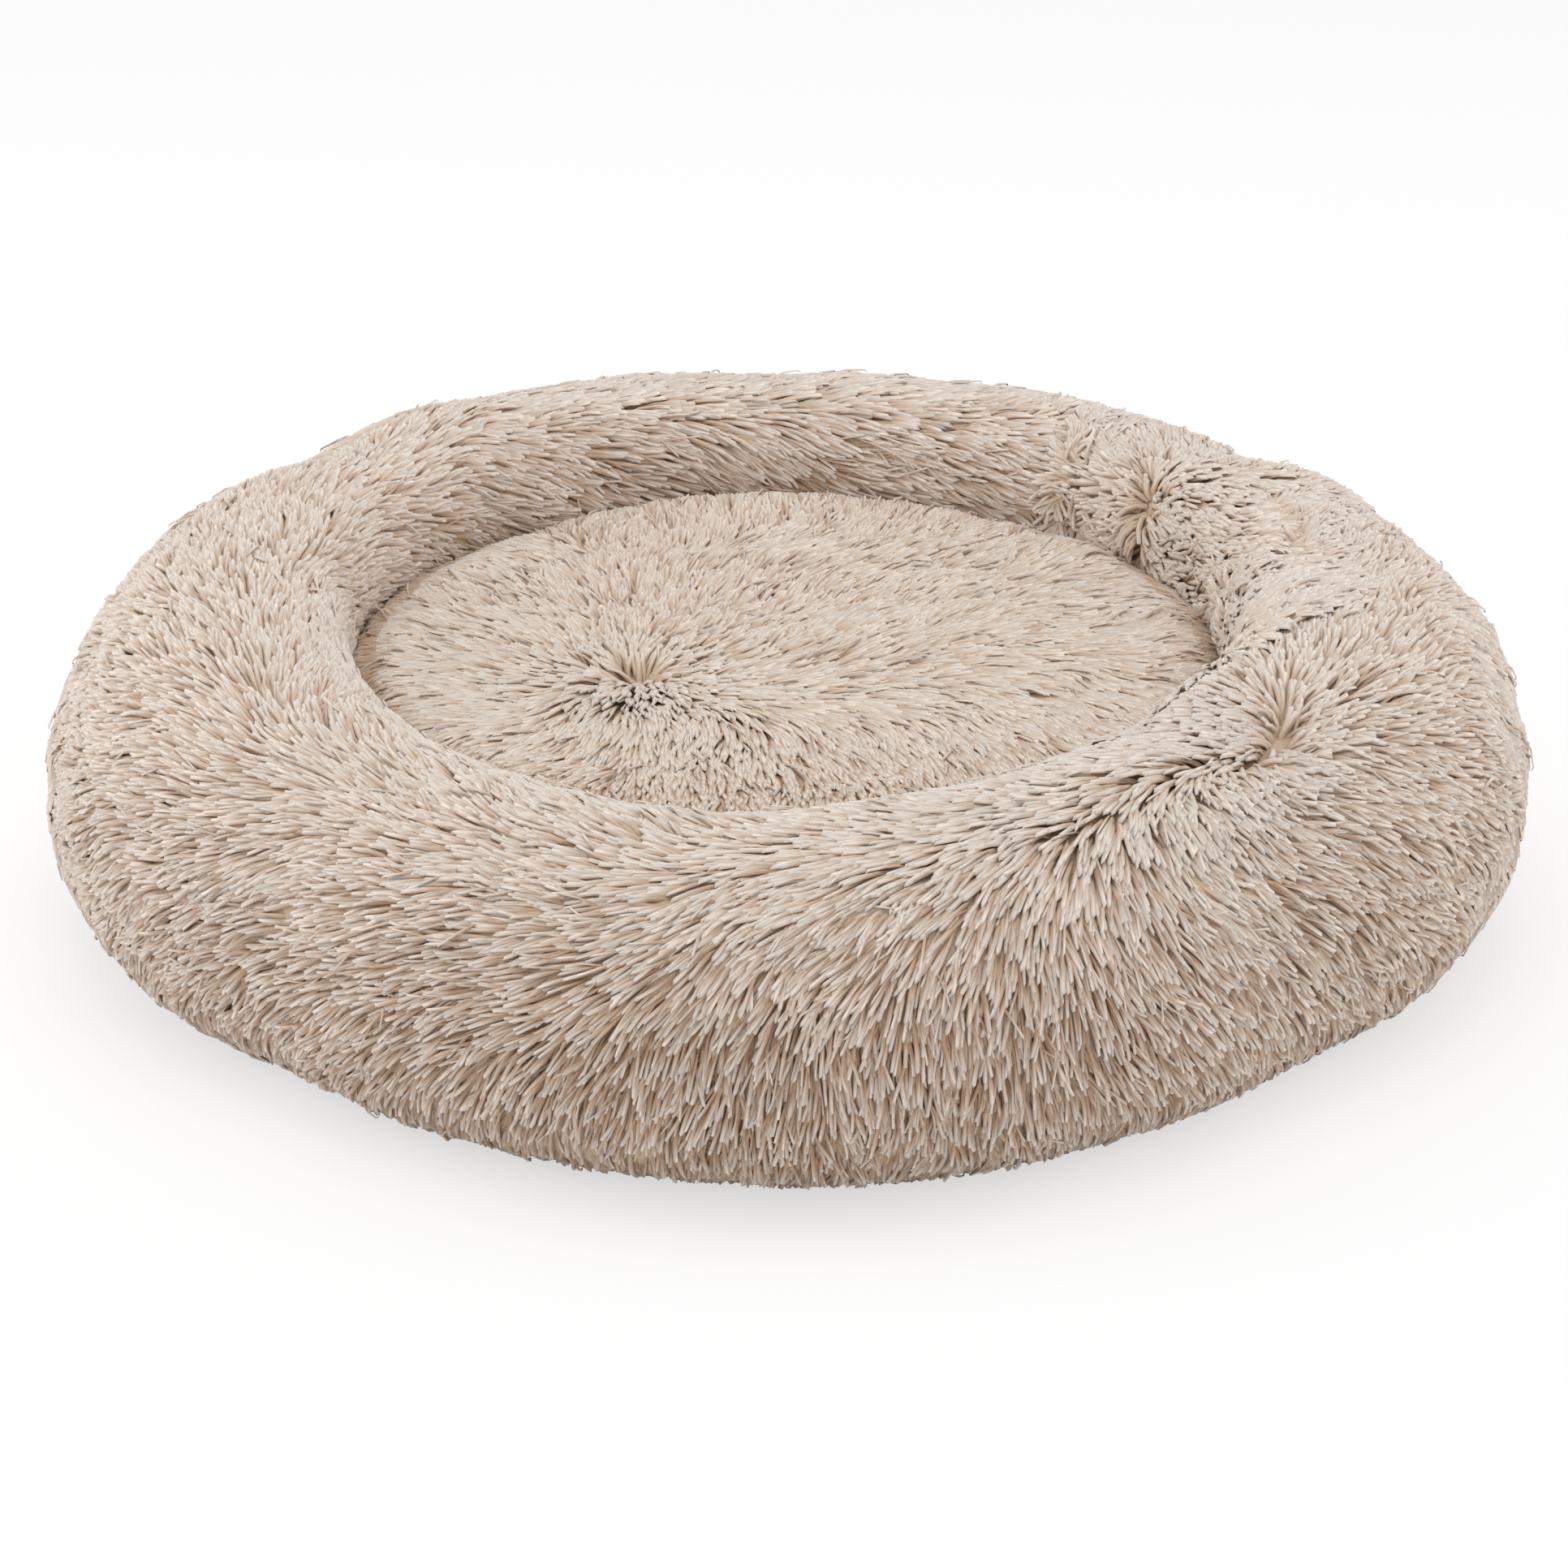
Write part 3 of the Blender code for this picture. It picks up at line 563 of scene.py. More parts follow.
def lie_of(places, strokes, rest):
    """The way that the pile lies at these places, shorter where the strokes disagree."""
    total = rest * REST_WEIGHT
    weights = np.full(len(places), REST_WEIGHT)
    for spots, ways, reach in strokes:
        for first in range(0, len(places), BATCH):
            part = slice(first, first + BATCH)
            apart = ((places[part, None, :] - spots[None, :, :]) ** 2).sum(axis=2)
            near = np.exp(-apart / (2 * reach ** 2))
            total[part] += near @ ways
            weights[part] += near.sum(axis=1)
    return total / weights[:, None]


def combed(roots, normals, strokes, rest):
    """The way that the pile lies over these roots, and how far it parts there, up to one."""
    flow = lie_of(roots, strokes, rest)
    flow = lie_of(roots + unit(flow) * TUFT_LENGTH / 2, strokes, rest)
    flow = unit(flow - dot(flow, normals) * normals)
    behind = lie_of(roots - flow * TUFT_LENGTH * PARTING_REACH_SHARE, strokes, rest)
    return flow, 1 - np.clip(dot(behind, flow)[:, 0] * PARTING_SHARPNESS, 0, 1)


def filled_in(place, roots, spare, strokes, rest):
    """These roots, and from the spare ones those that fill in where the pile parts."""
    parting = combed(place(*spare), slopes(place, *spare)[2], strokes, rest(*spare))[1]
    more = random.random(len(parting)) < parting * FILL_SHARE
    return [np.concatenate([first, second[more]]) for first, second in zip(roots, spare)]


def near_path(places, path, width):
    """One on a path and falling to nothing a few widths away from it."""
    apart = np.full(len(places), np.inf)
    for start, end in zip(path, path[1:]):
        share = np.clip((places - start) @ (end - start) / ((end - start) @ (end - start)), 0, 1)
        apart = np.minimum(apart, np.linalg.norm(places - start - share[:, None] * (end - start), axis=1))
    return np.exp(-(apart / width) ** 2)


def grown(place, first, second, depths, sinks, strokes, rest, locks, width, raised):
    """Tufts rooted under these places: their spines, sides, upper sides, widths and tints, with painted
    shade in the tints.
    """
    count = len(first)
    by_first, by_second, normals = slopes(place, first, second)
    roots = place(first, second)
    flow, parting = combed(roots, normals, strokes, rest)
    turn = BRUSH_UNEVENNESS * waves(BRUSH_PATCH)(roots) + TUFT_UNEVENNESS * random.normal(size=count)
    turn += PARTING_TURN * parting * random.normal(size=count)
    strays = random.random(count) < STRAY_SHARE
    turn += STRAY_TURN * random.normal(size=count) * strays
    centres = place(*locks)
    tree = kdtree.KDTree(len(centres))
    for i, centre in enumerate(centres):
        tree.insert(centre, i)
    tree.balance()
    nearest = np.array([tree.find(root)[1] for root in roots])
    turn += LOCK_TURN * random.normal(size=len(centres))[nearest]
    flow = flow * np.cos(turn)[:, None] + np.cross(normals, flow) * np.sin(turn)[:, None]
    loose = np.clip(-normals[:, 1], 0, 1) ** LOOSE_POWER
    loose = loose * np.where(roots[:, 1] > 0, BACK_WALL_SHARE, 1)
    gathering = random.uniform(*LOCK_GATHERING, len(centres))[nearest]
    gathering = gathering * (CALM_GATHERING_SHARE + (1 - CALM_GATHERING_SHARE) * loose)
    pull = centres[nearest] - roots
    pull = (pull - dot(pull, normals) * normals) * gathering[:, None]

    looser = 1 + LOOSE_SHARE * loose
    sinks = sinks + LOCK_UNEVENNESS * looser * np.abs(random.normal(size=len(centres)))[nearest]
    sinks = sinks + TIP_JITTER * looser * random.normal(size=count)
    rise = np.maximum(depths * (1 + PARTED_RISE_SHARE * parting) - sinks, LEAST_RISE)
    rise = rise + STRAY_RISE * strays * random.random(count)
    lengths = TUFT_LENGTH * random.uniform(*TUFT_LENGTH_SHARES, count) * np.sqrt(depths / depths.max())
    reach = np.sqrt(np.maximum(lengths ** 2 - rise ** 2, 0)) * (1 - STANDING_SHARE * raised)
    reach = reach * (1 - PARTED_STANDING_SHARE * parting * random.random(count))

    g11, g22 = dot(by_first, by_first), dot(by_second, by_second)
    g12 = dot(by_first, by_second)
    bend = np.cross(normals, flow) * (TUFT_BEND * random.normal(size=count))[:, None]
    spine, level_normals = [], []
    for share in TUFT_SHARES:
        moved = flow * (reach * share ** TUFT_LEAN_POWER)[:, None]
        moved = moved + pull * share ** GATHERING_POWER + bend * (share ** 2 - share)
        r1, r2 = dot(moved, by_first), dot(moved, by_second)
        size = g11 * g22 - g12 ** 2
        here = (first + ((r1 * g22 - r2 * g12) / size)[:, 0],
                second + ((r2 * g11 - r1 * g12) / size)[:, 0])
        normal = slopes(place, *here)[2]
        height = rise * (1 - (1 - share) ** TUFT_FLATTENING) - depths - TIP_DROOP * (share == 1)
        spine.append(place(*here) + normal * height[:, None])
        level_normals.append(normal)
    spine = np.stack(spine, axis=1)
    ahead = unit(np.gradient(spine, axis=1))
    level_normals = np.stack(level_normals, axis=1)
    sides = unit(np.cross(level_normals, ahead))
    tops = np.cross(ahead, sides)
    roll = (TUFT_ROLL * looser * random.normal(size=count))[:, None, None]
    sides, tops = sides * np.cos(roll) + tops * np.sin(roll), tops * np.cos(roll) - sides * np.sin(roll)
    # Tufts that face the front, and the standing stubs at the nest's front, take more of the deep-rooted
    # ramp: painted shade. Parted tufts take more of the pale-rooted one.
    shaded_tints = EVEN_TINT - PAINTED_SHADE_TINT_SHARE * np.maximum(loose, raised) + PARTED_PALER * parting
    shaded_tints = shaded_tints + PATCH_TINTS * waves(TINT_PATCH)(roots) + TUFT_TINTS * random.normal(size=count)
    shaded_tints = shaded_tints + LOCK_TINTS * random.normal(size=len(centres))[nearest]
    widths = width * random.uniform(*TUFT_WIDTH_RANGE_SHARES, count)
    widths = widths * (1 + (LOOSE_WIDTH_SHARE - 1) * loose) * (1 + (PARTED_WIDTH_SHARE - 1) * parting)
    widths = widths * (1 + (STRAY_WIDTH_SHARE - 1) * strays)
    ridges = np.interp(loose, (0, 1), TUFT_RIDGE_SHARES)
    return spine, sides, tops, level_normals, widths, ridges, shaded_tints


# One tuft's stalk: three-sided, in three lengths, with a blunt tip. It is unrolled from its ridge
# onto a strip as wide as its girth and as long as the tuft.
bm = bmesh.new()
bmesh.ops.create_cone(bm, cap_ends=True, segments=3, radius1=1, radius2=1, depth=1)
bmesh.ops.translate(bm, vec=(0, 0, 0.5), verts=bm.verts)
for level in range(2, len(TUFT_WIDTH_SHARES)):
    top = max(bm.faces, key=lambda face: face.calc_center_median().z)
    extruded = bmesh.ops.extrude_face_region(bm, geom=[top])["geom"]
    bmesh.ops.delete(bm, geom=[top], context="FACES_ONLY")
    bmesh.ops.translate(bm, vec=(0, 0, 1), verts=[g for g in extruded if isinstance(g, bmesh.types.BMVert)])
top = max(bm.faces, key=lambda face: face.calc_center_median().z)
tip = bmesh.ops.poke(bm, faces=[top])["verts"][0]
tip.co.z = len(TUFT_WIDTH_SHARES)
bm.verts.index_update()
stalk_levels = np.array([round(vert.co.z) for vert in bm.verts])
stalk_across = np.array([vert.co.x if vert != tip else 0 for vert in bm.verts])
stalk_up = np.array([vert.co.y if vert != tip else -0.5 for vert in bm.verts])


def from_ridge(place):
    return math.atan2(place.y, place.x) - math.pi / 2


stalk_corners, stalk_sizes, stalk_map, stalk_is_under = [], [], [], []
for face in bm.faces:
    is_root = all(round(vert.co.z) == 0 for vert in face.verts)
    facing = math.pi if is_root else from_ridge(face.calc_center_median()) % (2 * math.pi)
    for vert in face.verts:
        beside = 0
        if vert != tip:
            beside = (from_ridge(vert.co) - facing + math.pi) % (2 * math.pi) - math.pi
        stalk_corners.append(vert.index)
        stalk_map.append(((facing + beside) / (2 * math.pi), TUFT_SHARES[round(vert.co.z)]))
    stalk_sizes.append(len(face.verts))
    stalk_is_under += [all(vert.co.y < 0.1 for vert in face.verts)] * len(face.verts)
stalk_map, stalk_is_under = np.array(stalk_map), np.array(stalk_is_under)
bm.free()


def pile_piece(name, tufts, chosen, material):
    """One mesh of the chosen tufts. Each lies on the map as a strip in the column of its tint.

    It is filled from arrays, because an operator for each tuft would take many minutes.
    """
    spine, sides, tops, level_normals, widths, ridges, shaded_tints = (values[chosen] for values in tufts)
    count = len(spine)
    shares = np.array((*TUFT_WIDTH_SHARES, TUFT_WIDTH_SHARES[-1]))[stalk_levels]
    half = widths[:, None, None] / 2
    places = spine[:, stalk_levels]
    places = places + sides[:, stalk_levels] * (stalk_across * shares)[None, :, None] * half
    heights = np.where(stalk_up[None, :] > 0, ridges[:, None], TUFT_BELLY_SHARE) * stalk_up * shares
    places = places + tops[:, stalk_levels] * heights[:, :, None] * half
    places[..., 2] = np.maximum(places[..., 2], FLOOR_CLEARANCE)
    outward = sides[:, stalk_levels] * stalk_across[None, :, None]
    outward = outward + tops[:, stalk_levels] * stalk_up[None, :, None]
    upper = unit(level_normals[:, stalk_levels] + outward * ROUNDING_SHARE)
    lower = unit(outward + level_normals[:, stalk_levels] * UNDERSIDE_SHARE)
    normals = np.where(stalk_is_under[None, :, None], lower[:, stalk_corners], upper[:, stalk_corners])
    starts = np.arange(count)[:, None]
    columns = (np.clip(np.floor(shaded_tints * TINTS), 0, TINTS - 1) + MAP_MARGIN)[:, None]
    columns = columns + stalk_map[None, :, 0] * (1 - 2 * MAP_MARGIN)
    strip = np.stack([columns / TINTS, np.broadcast_to(stalk_map[:, 1], columns.shape)], axis=-1)

    mesh = bpy.data.meshes.new(name)
    mesh.vertices.add(count * len(stalk_levels))
    mesh.vertices.foreach_set("co", places.ravel())
    mesh.loops.add(count * len(stalk_corners))
    corners = starts * len(stalk_levels) + np.array(stalk_corners)[None, :]
    mesh.loops.foreach_set("vertex_index", corners.ravel())
    mesh.polygons.add(count * len(stalk_sizes))
    firsts = starts * len(stalk_corners) + np.cumsum([0] + stalk_sizes[:-1])[None, :]
    mesh.polygons.foreach_set("loop_start", firsts.ravel())
    mesh.update(calc_edges=True)
    mesh.uv_layers.new(name="OFBake").uv.foreach_set("vector", strip.ravel())
    mesh.materials.append(material)
    mesh.shade_smooth()
    mesh.normals_split_custom_set(normals.reshape(-1, 3))
    obj = placed(name, mesh)
    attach(obj, "bed")
    return obj


def pile_material(name, deep_rooted_and_shaded, even_and_lit, side_shade):
    """Textured polyester pile: soft and dull, pale cream at the tips and deeper towards the roots, partly
    as painted shade.
    """
    pile = new_material(name)
    strip = add(pile, "ShaderNodeUVMap", {"uv_map": "OFBake"}, {})
    ways = add(pile, "ShaderNodeSeparateXYZ", {}, {"Vector": strip.outputs[0]})
    stretched = add(pile, "ShaderNodeMapping", {}, {
        "Vector": strip.outputs[0], "Scale": (TINTS * FIBRES_ACROSS, FIBRES_ALONG, 1)})
    fibres = add(pile, "ShaderNodeTexNoise", {}, {
        "Vector": stretched.outputs[0], "Scale": 1, "Detail": 1})
    lengthways = []
    # Two ramps from root to tip: the even one's pale roots are painted light in the pile, the deep-rooted
    # one's painted shade
    for colours in (deep_rooted_and_shaded, even_and_lit):
        dyed = add(pile, "ShaderNodeValToRGB", {}, {"Fac": ways.outputs["Y"]})
        stops = dyed.color_ramp.elements
        stops[0].position, stops[1].position = PILE_STOPS[0], PILE_STOPS[3]
        stops[0].color, stops[1].color = linear(colours[0]), linear(colours[3])
        for position, colour in zip(PILE_STOPS[1:3], colours[1:3]):
            stops.new(position).color = linear(colour)
        lengthways.append(dyed)
    tinted = add(pile, "ShaderNodeMix", {"data_type": "RGBA"}, {
        "Factor": ways.outputs["X"], 6: lengthways[0].outputs[0], 7: lengthways[1].outputs[0]})
    column = add(pile, "ShaderNodeMath", {"operation": "MULTIPLY"}, {0: ways.outputs["X"], 1: TINTS / 2})
    # Away from its ridge, which is at both edges of its strip, a tuft is a little darker: painted shade on
    # its sides
    from_edge = add(pile, "ShaderNodeMath", {"operation": "PINGPONG"}, {0: column.outputs[0], 1: 0.25})
    sideness = add(pile, "ShaderNodeMapRange", {"interpolation_type": "SMOOTHSTEP"}, {
        "Value": from_edge.outputs[0], "From Min": 0.06, "From Max": 0.2})
    side_shaded = add(pile, "ShaderNodeMix", {"data_type": "RGBA"}, {
        "Factor": sideness.outputs[0], 6: linear("#FFFFFF"), 7: linear(side_shade)})
    side_shaded = add(pile, "ShaderNodeMix", {"data_type": "RGBA", "blend_type": "MULTIPLY"}, {
        "Factor": 1, 6: tinted.outputs[2], 7: side_shaded.outputs[2]})
    streak = add(pile, "ShaderNodeMapRange", {}, {
        "Value": fibres.outputs[0], "From Min": 0.3, "From Max": 0.7,
        "To Min": FIBRE_TONES[0], "To Max": FIBRE_TONES[1]})
    streaked = add(pile, "ShaderNodeMix", {"data_type": "RGBA", "blend_type": "MULTIPLY"}, {
        "Factor": 1, 6: side_shaded.outputs[2], 7: streak.outputs[0]})
    ridges = add(pile, "ShaderNodeBump", {}, {
        "Height": fibres.outputs[0], "Strength": 0.5, "Distance": FIBRE_RELIEF})
    return closed(pile, add(pile, "ShaderNodeBsdfPrincipled", {}, {
        "Base Color": streaked.outputs[2], "Roughness": 0.62, "Normal": ridges.outputs[0],
        "Sheen Weight": 0.25, "Sheen Roughness": 0.5, "Sheen Tint": linear("#FFF6EC")}))


# The ramps paint light (pale roots) and shade (deep roots) into the pile; the last colour paints shade on
# the tufts' sides
ring_pile = pile_material("brushed polyester pile of the ring",
                          ("#B08A68", "#C3A285", "#DFCBB9", "#F2E7DD"),
                          ("#D6BCA2", "#DEC9B6", "#E8D9CC", "#F2E8DF"), "#DACABD")


def downhill(angle, along):
    """The way that the pile lies where no stroke of the brush is near."""
    return -unit(slopes(ring_place, angle, along)[1])


spots, ways = [], []
for turned, share, heading in UNSEEN_STROKES:
    here = np.array([math.radians(turned)]), np.array([share * ring_marks[-1]])
    by_angle, by_along, _ = slopes(ring_place, *here)
    spots.append(ring_place(*here)[0])
    heading = math.radians(heading)
    ways.append(unit(by_angle[0]) * math.sin(heading) - unit(by_along[0]) * math.cos(heading))
brush_strokes = [(*brushed(RING_STROKES, ring_backings), STROKE_REACH),
                 (np.array(spots), np.array(ways), UNSEEN_REACH)]
angle, along = filled_in(ring_place, scattered(ring_line, TUFT_SPACING),
                         scattered(ring_line, TUFT_SPACING), brush_strokes, downhill)
above_groove = ring_place(angle, along)[:, 2] > NEST_SEAM_HEIGHT + GROOVE_DEPTH
shown = above_groove | (along < ring_marks[-1] * INNER_WALL_START)
angle, along = angle[shown], along[shown]
places = ring_place(angle, along)
sinks = CREASE_DEPTH * near_path(places, traced(CREASE, ring_backings), CREASE_WIDTH)
sinks -= RIDGE_HEIGHT * near_path(places, traced(RING_RIDGE, ring_backings), RIDGE_WIDTH)
depths = np.interp(along, ring_marks, ring_depths) * (1 - UNDERPILE_SHARE) + ROOT_OVERLAP
ring_tufts = grown(ring_place, angle, along, depths, sinks, brush_strokes, downhill(angle, along),
                   scattered(ring_line, LOCK_SPACING), TUFT_WIDTH, np.zeros(len(angle)))
turned = np.degrees(angle)
widest_mark, crest_mark = ring_marks[len(under) - 1], ring_marks[len(under) + len(outer) - 2]
for side, (first, last) in PANEL_SEAMS.items():
    in_panel = (turned - first) % 360 < last - first
    for part, kept in (("below", along < widest_mark), ("inside", along >= crest_mark),
                       ("outside", (along >= widest_mark) & (along < crest_mark))):
        pile = pile_piece("ring_pile_" + side + "_" + part, ring_tufts, in_panel & kept, ring_pile)
        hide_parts("ring_fur_" + side)

# The nest's pile
# The same pile, finer and a little warmer, on the cushion. It parts in a whorl left of the middle
# and is combed out from there to both sides. Towards the front it stands up in short stubs.
NEST_STROKES = (
    (650, 850, -1, 0), (600, 870, -1, 0), (680, 830, -1, -0.1), (600, 820, -1, -0.2), (550, 775, -1, -0.25),
    (500, 750, -1, -0.1), (480, 795, -1, 0.05), (500, 845, -1, 0.1), (650, 785, -0.9, -0.4),
    (700, 800, -0.85, -0.5), (680, 740, -0.85, -0.5), (620, 700, -0.95, -0.3), (560, 700, -0.9, -0.1),
    (600, 655, -0.7, -0.6), (650, 650, -0.6, -0.8), (700, 640, -0.5, -0.85), (740, 630, -0.3, -0.95),
    (730, 720, -0.6, -0.8), (735, 775, -0.2, -1), (740, 810, -0.3, -0.9), (780, 770, 0.2, -1),
    (800, 740, 0.3, -0.95), (820, 790, 0.6, -0.8), (850, 640, 0.1, -1), (900, 615, 0.05, -1),
    (800, 640, 0.1, -1), (880, 690, 0.7, -0.6), (950, 615, 0.1, -1), (1000, 620, 0.25, -0.95),
    (1050, 640, 0.4, -0.9), (1110, 650, 0.6, -0.8), (1200, 660, 0.7, -0.6), (950, 680, 0.9, -0.3),
    (900, 750, 0.75, -0.6), (950, 765, 0.85, -0.5), (1000, 785, 0.85, -0.5), (1050, 720, 0.95, -0.3),
    (1100, 765, 0.85, -0.5), (1150, 700, 0.95, -0.2), (1200, 740, 0.9, -0.4), (1250, 690, 0.95, -0.3),
    (1300, 725, 0.95, -0.25), (1350, 700, 1, -0.1), (1400, 740, 1, 0.1), (1300, 780, 1, 0),
    (1400, 790, 1, -0.1), (1450, 770, 1, 0), (850, 810, 0.85, -0.45), (900, 830, 0.95, -0.3),
    (1000, 835, 0.9, -0.35), (1100, 820, 0.95, -0.25), (1200, 810, 1, -0.1), (1250, 835, 1, 0.1),
    (1300, 855, 0.9, 0.4), (1350, 835, 0.9, 0.4), (1400, 820, 1, -0.2), (900, 860, 1, 0), (1000, 870, 1, 0),
    (1100, 865, 1, 0.1), (1200, 870, 0.95, 0.3), (1250, 885, 0.85, 0.5), (1100, 915, 0.75, 0.65),
    (1200, 905, 0.8, 0.6), (1200, 935, 0.55, 0.85), (1150, 940, 0.6, 0.8), (1050, 935, 0.6, 0.8),
    (1000, 930, 0.55, 0.85), (1000, 890, 0.9, 0.35), (950, 915, 0.45, 0.9), (950, 880, 1, 0.2),
    (850, 880, 0.6, 0.8), (820, 905, 0.25, 1), (780, 880, -0.1, 1), (750, 900, -0.3, 0.95),
    (720, 880, -0.6, 0.8), (720, 925, -0.4, 0.9), (880, 905, 0.4, 0.9), (880, 950, 0.1, 1),
    (920, 965, 0, 1), (850, 970, -0.1, 1), (700, 860, -0.9, 0.3), (690, 935, -1, 0.15),
    (620, 900, -1, 0.15), (560, 880, -1, 0),
)
# Pixels along the ridge where the pile stands up beside the whorl
NEST_RIDGE = ((665, 735), (705, 775), (752, 822), (820, 868), (900, 905))
NEST_RIDGE_HEIGHT = 0.002
NEST_STRIP = 0.13
NEST_TUFT_SPACING = 0.0035
NEST_TUFT_WIDTH = 0.0033
WHORL_PIXEL = (765, 838)
FRONT_DIP = 0.0015
FRONT_DIP_START = -0.11
FRONT_DIP_END = -0.20
EDGE_FLUFF = 0.012
EDGE_FLUFF_END = 0.19
EDGE_FLUFF_FADE = 0.07

nest_marks = lengths_along(nest_line)


def nest_place(right, back):
    """Where the tips of the nest's pile end, this far over its surface from the middle."""
    out = np.hypot(right, back)
    turned = np.arctan2(back, right)
    down = nest_marks[-1] - out
    radius = np.interp(down, nest_marks, nest_line[:, 0])
    plain = np.stack([radius * np.cos(turned), radius * np.sin(turned),
                      np.interp(down, nest_marks, nest_line[:, 1])], axis=-1)
    plain[:, 2] += lumpiness(plain)
    return plain


def over_nest(angle, along):
    out = nest_marks[-1] - along
    return out * np.cos(angle), out * np.sin(angle)


def from_whorl(right, back):
    return unit(nest_place(right, back) - whorl)


# The ramps paint light (pale roots) and shade (deep roots) into the pile; the last colour paints shade on
# the tufts' sides
nest_pile = pile_material("brushed polyester pile of the nest",
                          ("#B38A62", "#C09D7C", "#D6C2AF", "#EDE1D5"),
                          ("#D2B79C", "#DCC6B1", "#E6D6C7", "#F0E5DB"), "#DACBBE")
ray = sight_line(*WHORL_PIXEL)
whorl = np.array(camera.location + ray * ((shoulder_top - camera.location.z) / ray.z))
nest_strokes = [(*brushed(NEST_STROKES, [nest_backing]), STROKE_REACH)]
right, back = filled_in(nest_place, over_nest(*scattered(nest_line, NEST_TUFT_SPACING)),
                        over_nest(*scattered(nest_line, NEST_TUFT_SPACING)), nest_strokes, from_whorl)
places = nest_place(right, back)
shown = places[:, 2] > NEST_SEAM_HEIGHT + NEST_SIDE_HEIGHT
right, back, places = right[shown], back[shown], places[shown]
at_front = np.clip((places[:, 1] - FRONT_DIP_START) / (FRONT_DIP_END - FRONT_DIP_START), 0, 1)
sinks = FRONT_DIP * at_front
edgeward = np.clip((np.hypot(places[:, 0], places[:, 1]) - nest_flat) / NEST_SHOULDER, 0, 1)
sinks -= EDGE_FLUFF * edgeward * np.clip((EDGE_FLUFF_END - places[:, 1]) / EDGE_FLUFF_FADE, 0, 1)
sinks -= NEST_RIDGE_HEIGHT * near_path(places, traced(NEST_RIDGE, [nest_backing]), RIDGE_WIDTH)
depths = np.full(len(right), FUR_THICKNESS * (1 - NEST_UNDERPILE_SHARE) + ROOT_OVERLAP)
nest_tufts = grown(nest_place, right, back, depths, sinks, nest_strokes, from_whorl(right, back),
                   over_nest(*scattered(nest_line, LOCK_SPACING)), NEST_TUFT_WIDTH, at_front)
for part, low, high in (("left", -INNER_RADIUS, -NEST_STRIP / 2),
                        ("middle", -NEST_STRIP / 2, NEST_STRIP / 2),
                        ("right", NEST_STRIP / 2, INNER_RADIUS)):
    kept = (places[:, 0] >= low) & (places[:, 0] < high)
    pile = pile_piece("nest_pile_" + part, nest_tufts, kept, nest_pile)
    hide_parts("nest_fur")

# The base cloth
# Two half rounds of coated oxford cloth under it all, with small grip dots. They are sewn to the
# fur round their edge, and to the zip's tapes along a slot in the middle, where they lie higher.
BASE_RECESS = 0.008
RECESS_RAMP = 0.022
BASE_STEPS = 60
OXFORD_THICKNESS = 0.0006
OXFORD_LIFT = 0.0003
OXFORD_YARN = 0.0006
OXFORD_PATCH = 1 / 60
GRIP_DOT_SPACING = 0.009
GRIP_DOT_SHARE = 0.17
SLOT_CLEARANCE = 0.0006
STITCH_LENGTH = 0.0032
STITCH_PITCH = 0.0042
STITCH_WIDTH = 0.0005
STITCH_PLY = 0.0004
EDGE_STITCH_INSET = 0.006
HEM_STITCH_INSETS = (0.0022, 0.0085)
# A Wave texture of this scale repeats once a metre
WAVE_A_METRE = math.pi / 10

# Coated oxford cloth: a coarse, matt plain weave, unevenly worn, with small shinier dots of rubber
oxford, place = patterned("coated polyester oxford cloth with grip dots")
yarns = [add(oxford, "ShaderNodeTexWave", {"bands_direction": way}, {
    "Vector": place, "Scale": WAVE_A_METRE / OXFORD_YARN}) for way in ("X", "Y")]
weave = add(oxford, "ShaderNodeMath", {"operation": "MAXIMUM"}, {
    0: yarns[0].outputs["Fac"], 1: yarns[1].outputs["Fac"]})
unevenness = add(oxford, "ShaderNodeTexNoise", {}, {
    "Vector": place, "Scale": 1 / OXFORD_PATCH, "Detail": 4})
grid = add(oxford, "ShaderNodeTexVoronoi", {"voronoi_dimensions": "2D"}, {
    "Vector": place, "Scale": 1 / GRIP_DOT_SPACING, "Randomness": 0.0})
dots = add(oxford, "ShaderNodeMath", {"operation": "LESS_THAN"}, {
    0: grid.outputs["Distance"], 1: GRIP_DOT_SHARE})
yarn_tone = add(oxford, "ShaderNodeMix", {"data_type": "RGBA"}, {
    "Factor": weave.outputs[0], 6: linear("#6B5B4C"), 7: linear("#8B7866")})
worn_tone = add(oxford, "ShaderNodeMix", {"data_type": "RGBA", "blend_type": "MULTIPLY"}, {
    "Factor": unevenness.outputs[0], 6: yarn_tone.outputs[2], 7: linear("#E8E0D8")})
oxford_gloss = add(oxford, "ShaderNodeMapRange", {}, {
    "Value": dots.outputs[0], "To Min": 0.72, "To Max": 0.38})
raised = add(oxford, "ShaderNodeMath", {"operation": "MAXIMUM"}, {
    0: weave.outputs[0], 1: dots.outputs[0]})
two_toned(oxford, dots.outputs[0], (worn_tone.outputs[2], linear("#51463C")), raised.outputs[0],
          0.5, OXFORD_YARN / 3, {"Roughness": oxford_gloss.outputs[0]})

# Twisted polyester thread: a slight shine, with the slanting turns of its plies
thread, place = patterned("twisted polyester thread")
plies = add(thread, "ShaderNodeTexWave", {"bands_direction": "DIAGONAL"}, {
    "Vector": place, "Scale": WAVE_A_METRE / STITCH_PLY}).outputs["Fac"]
two_toned(thread, plies, (linear("#8F7D6B"), linear("#B5A491")), plies, 0.5, STITCH_PLY / 4,
          {"Roughness": 0.5})


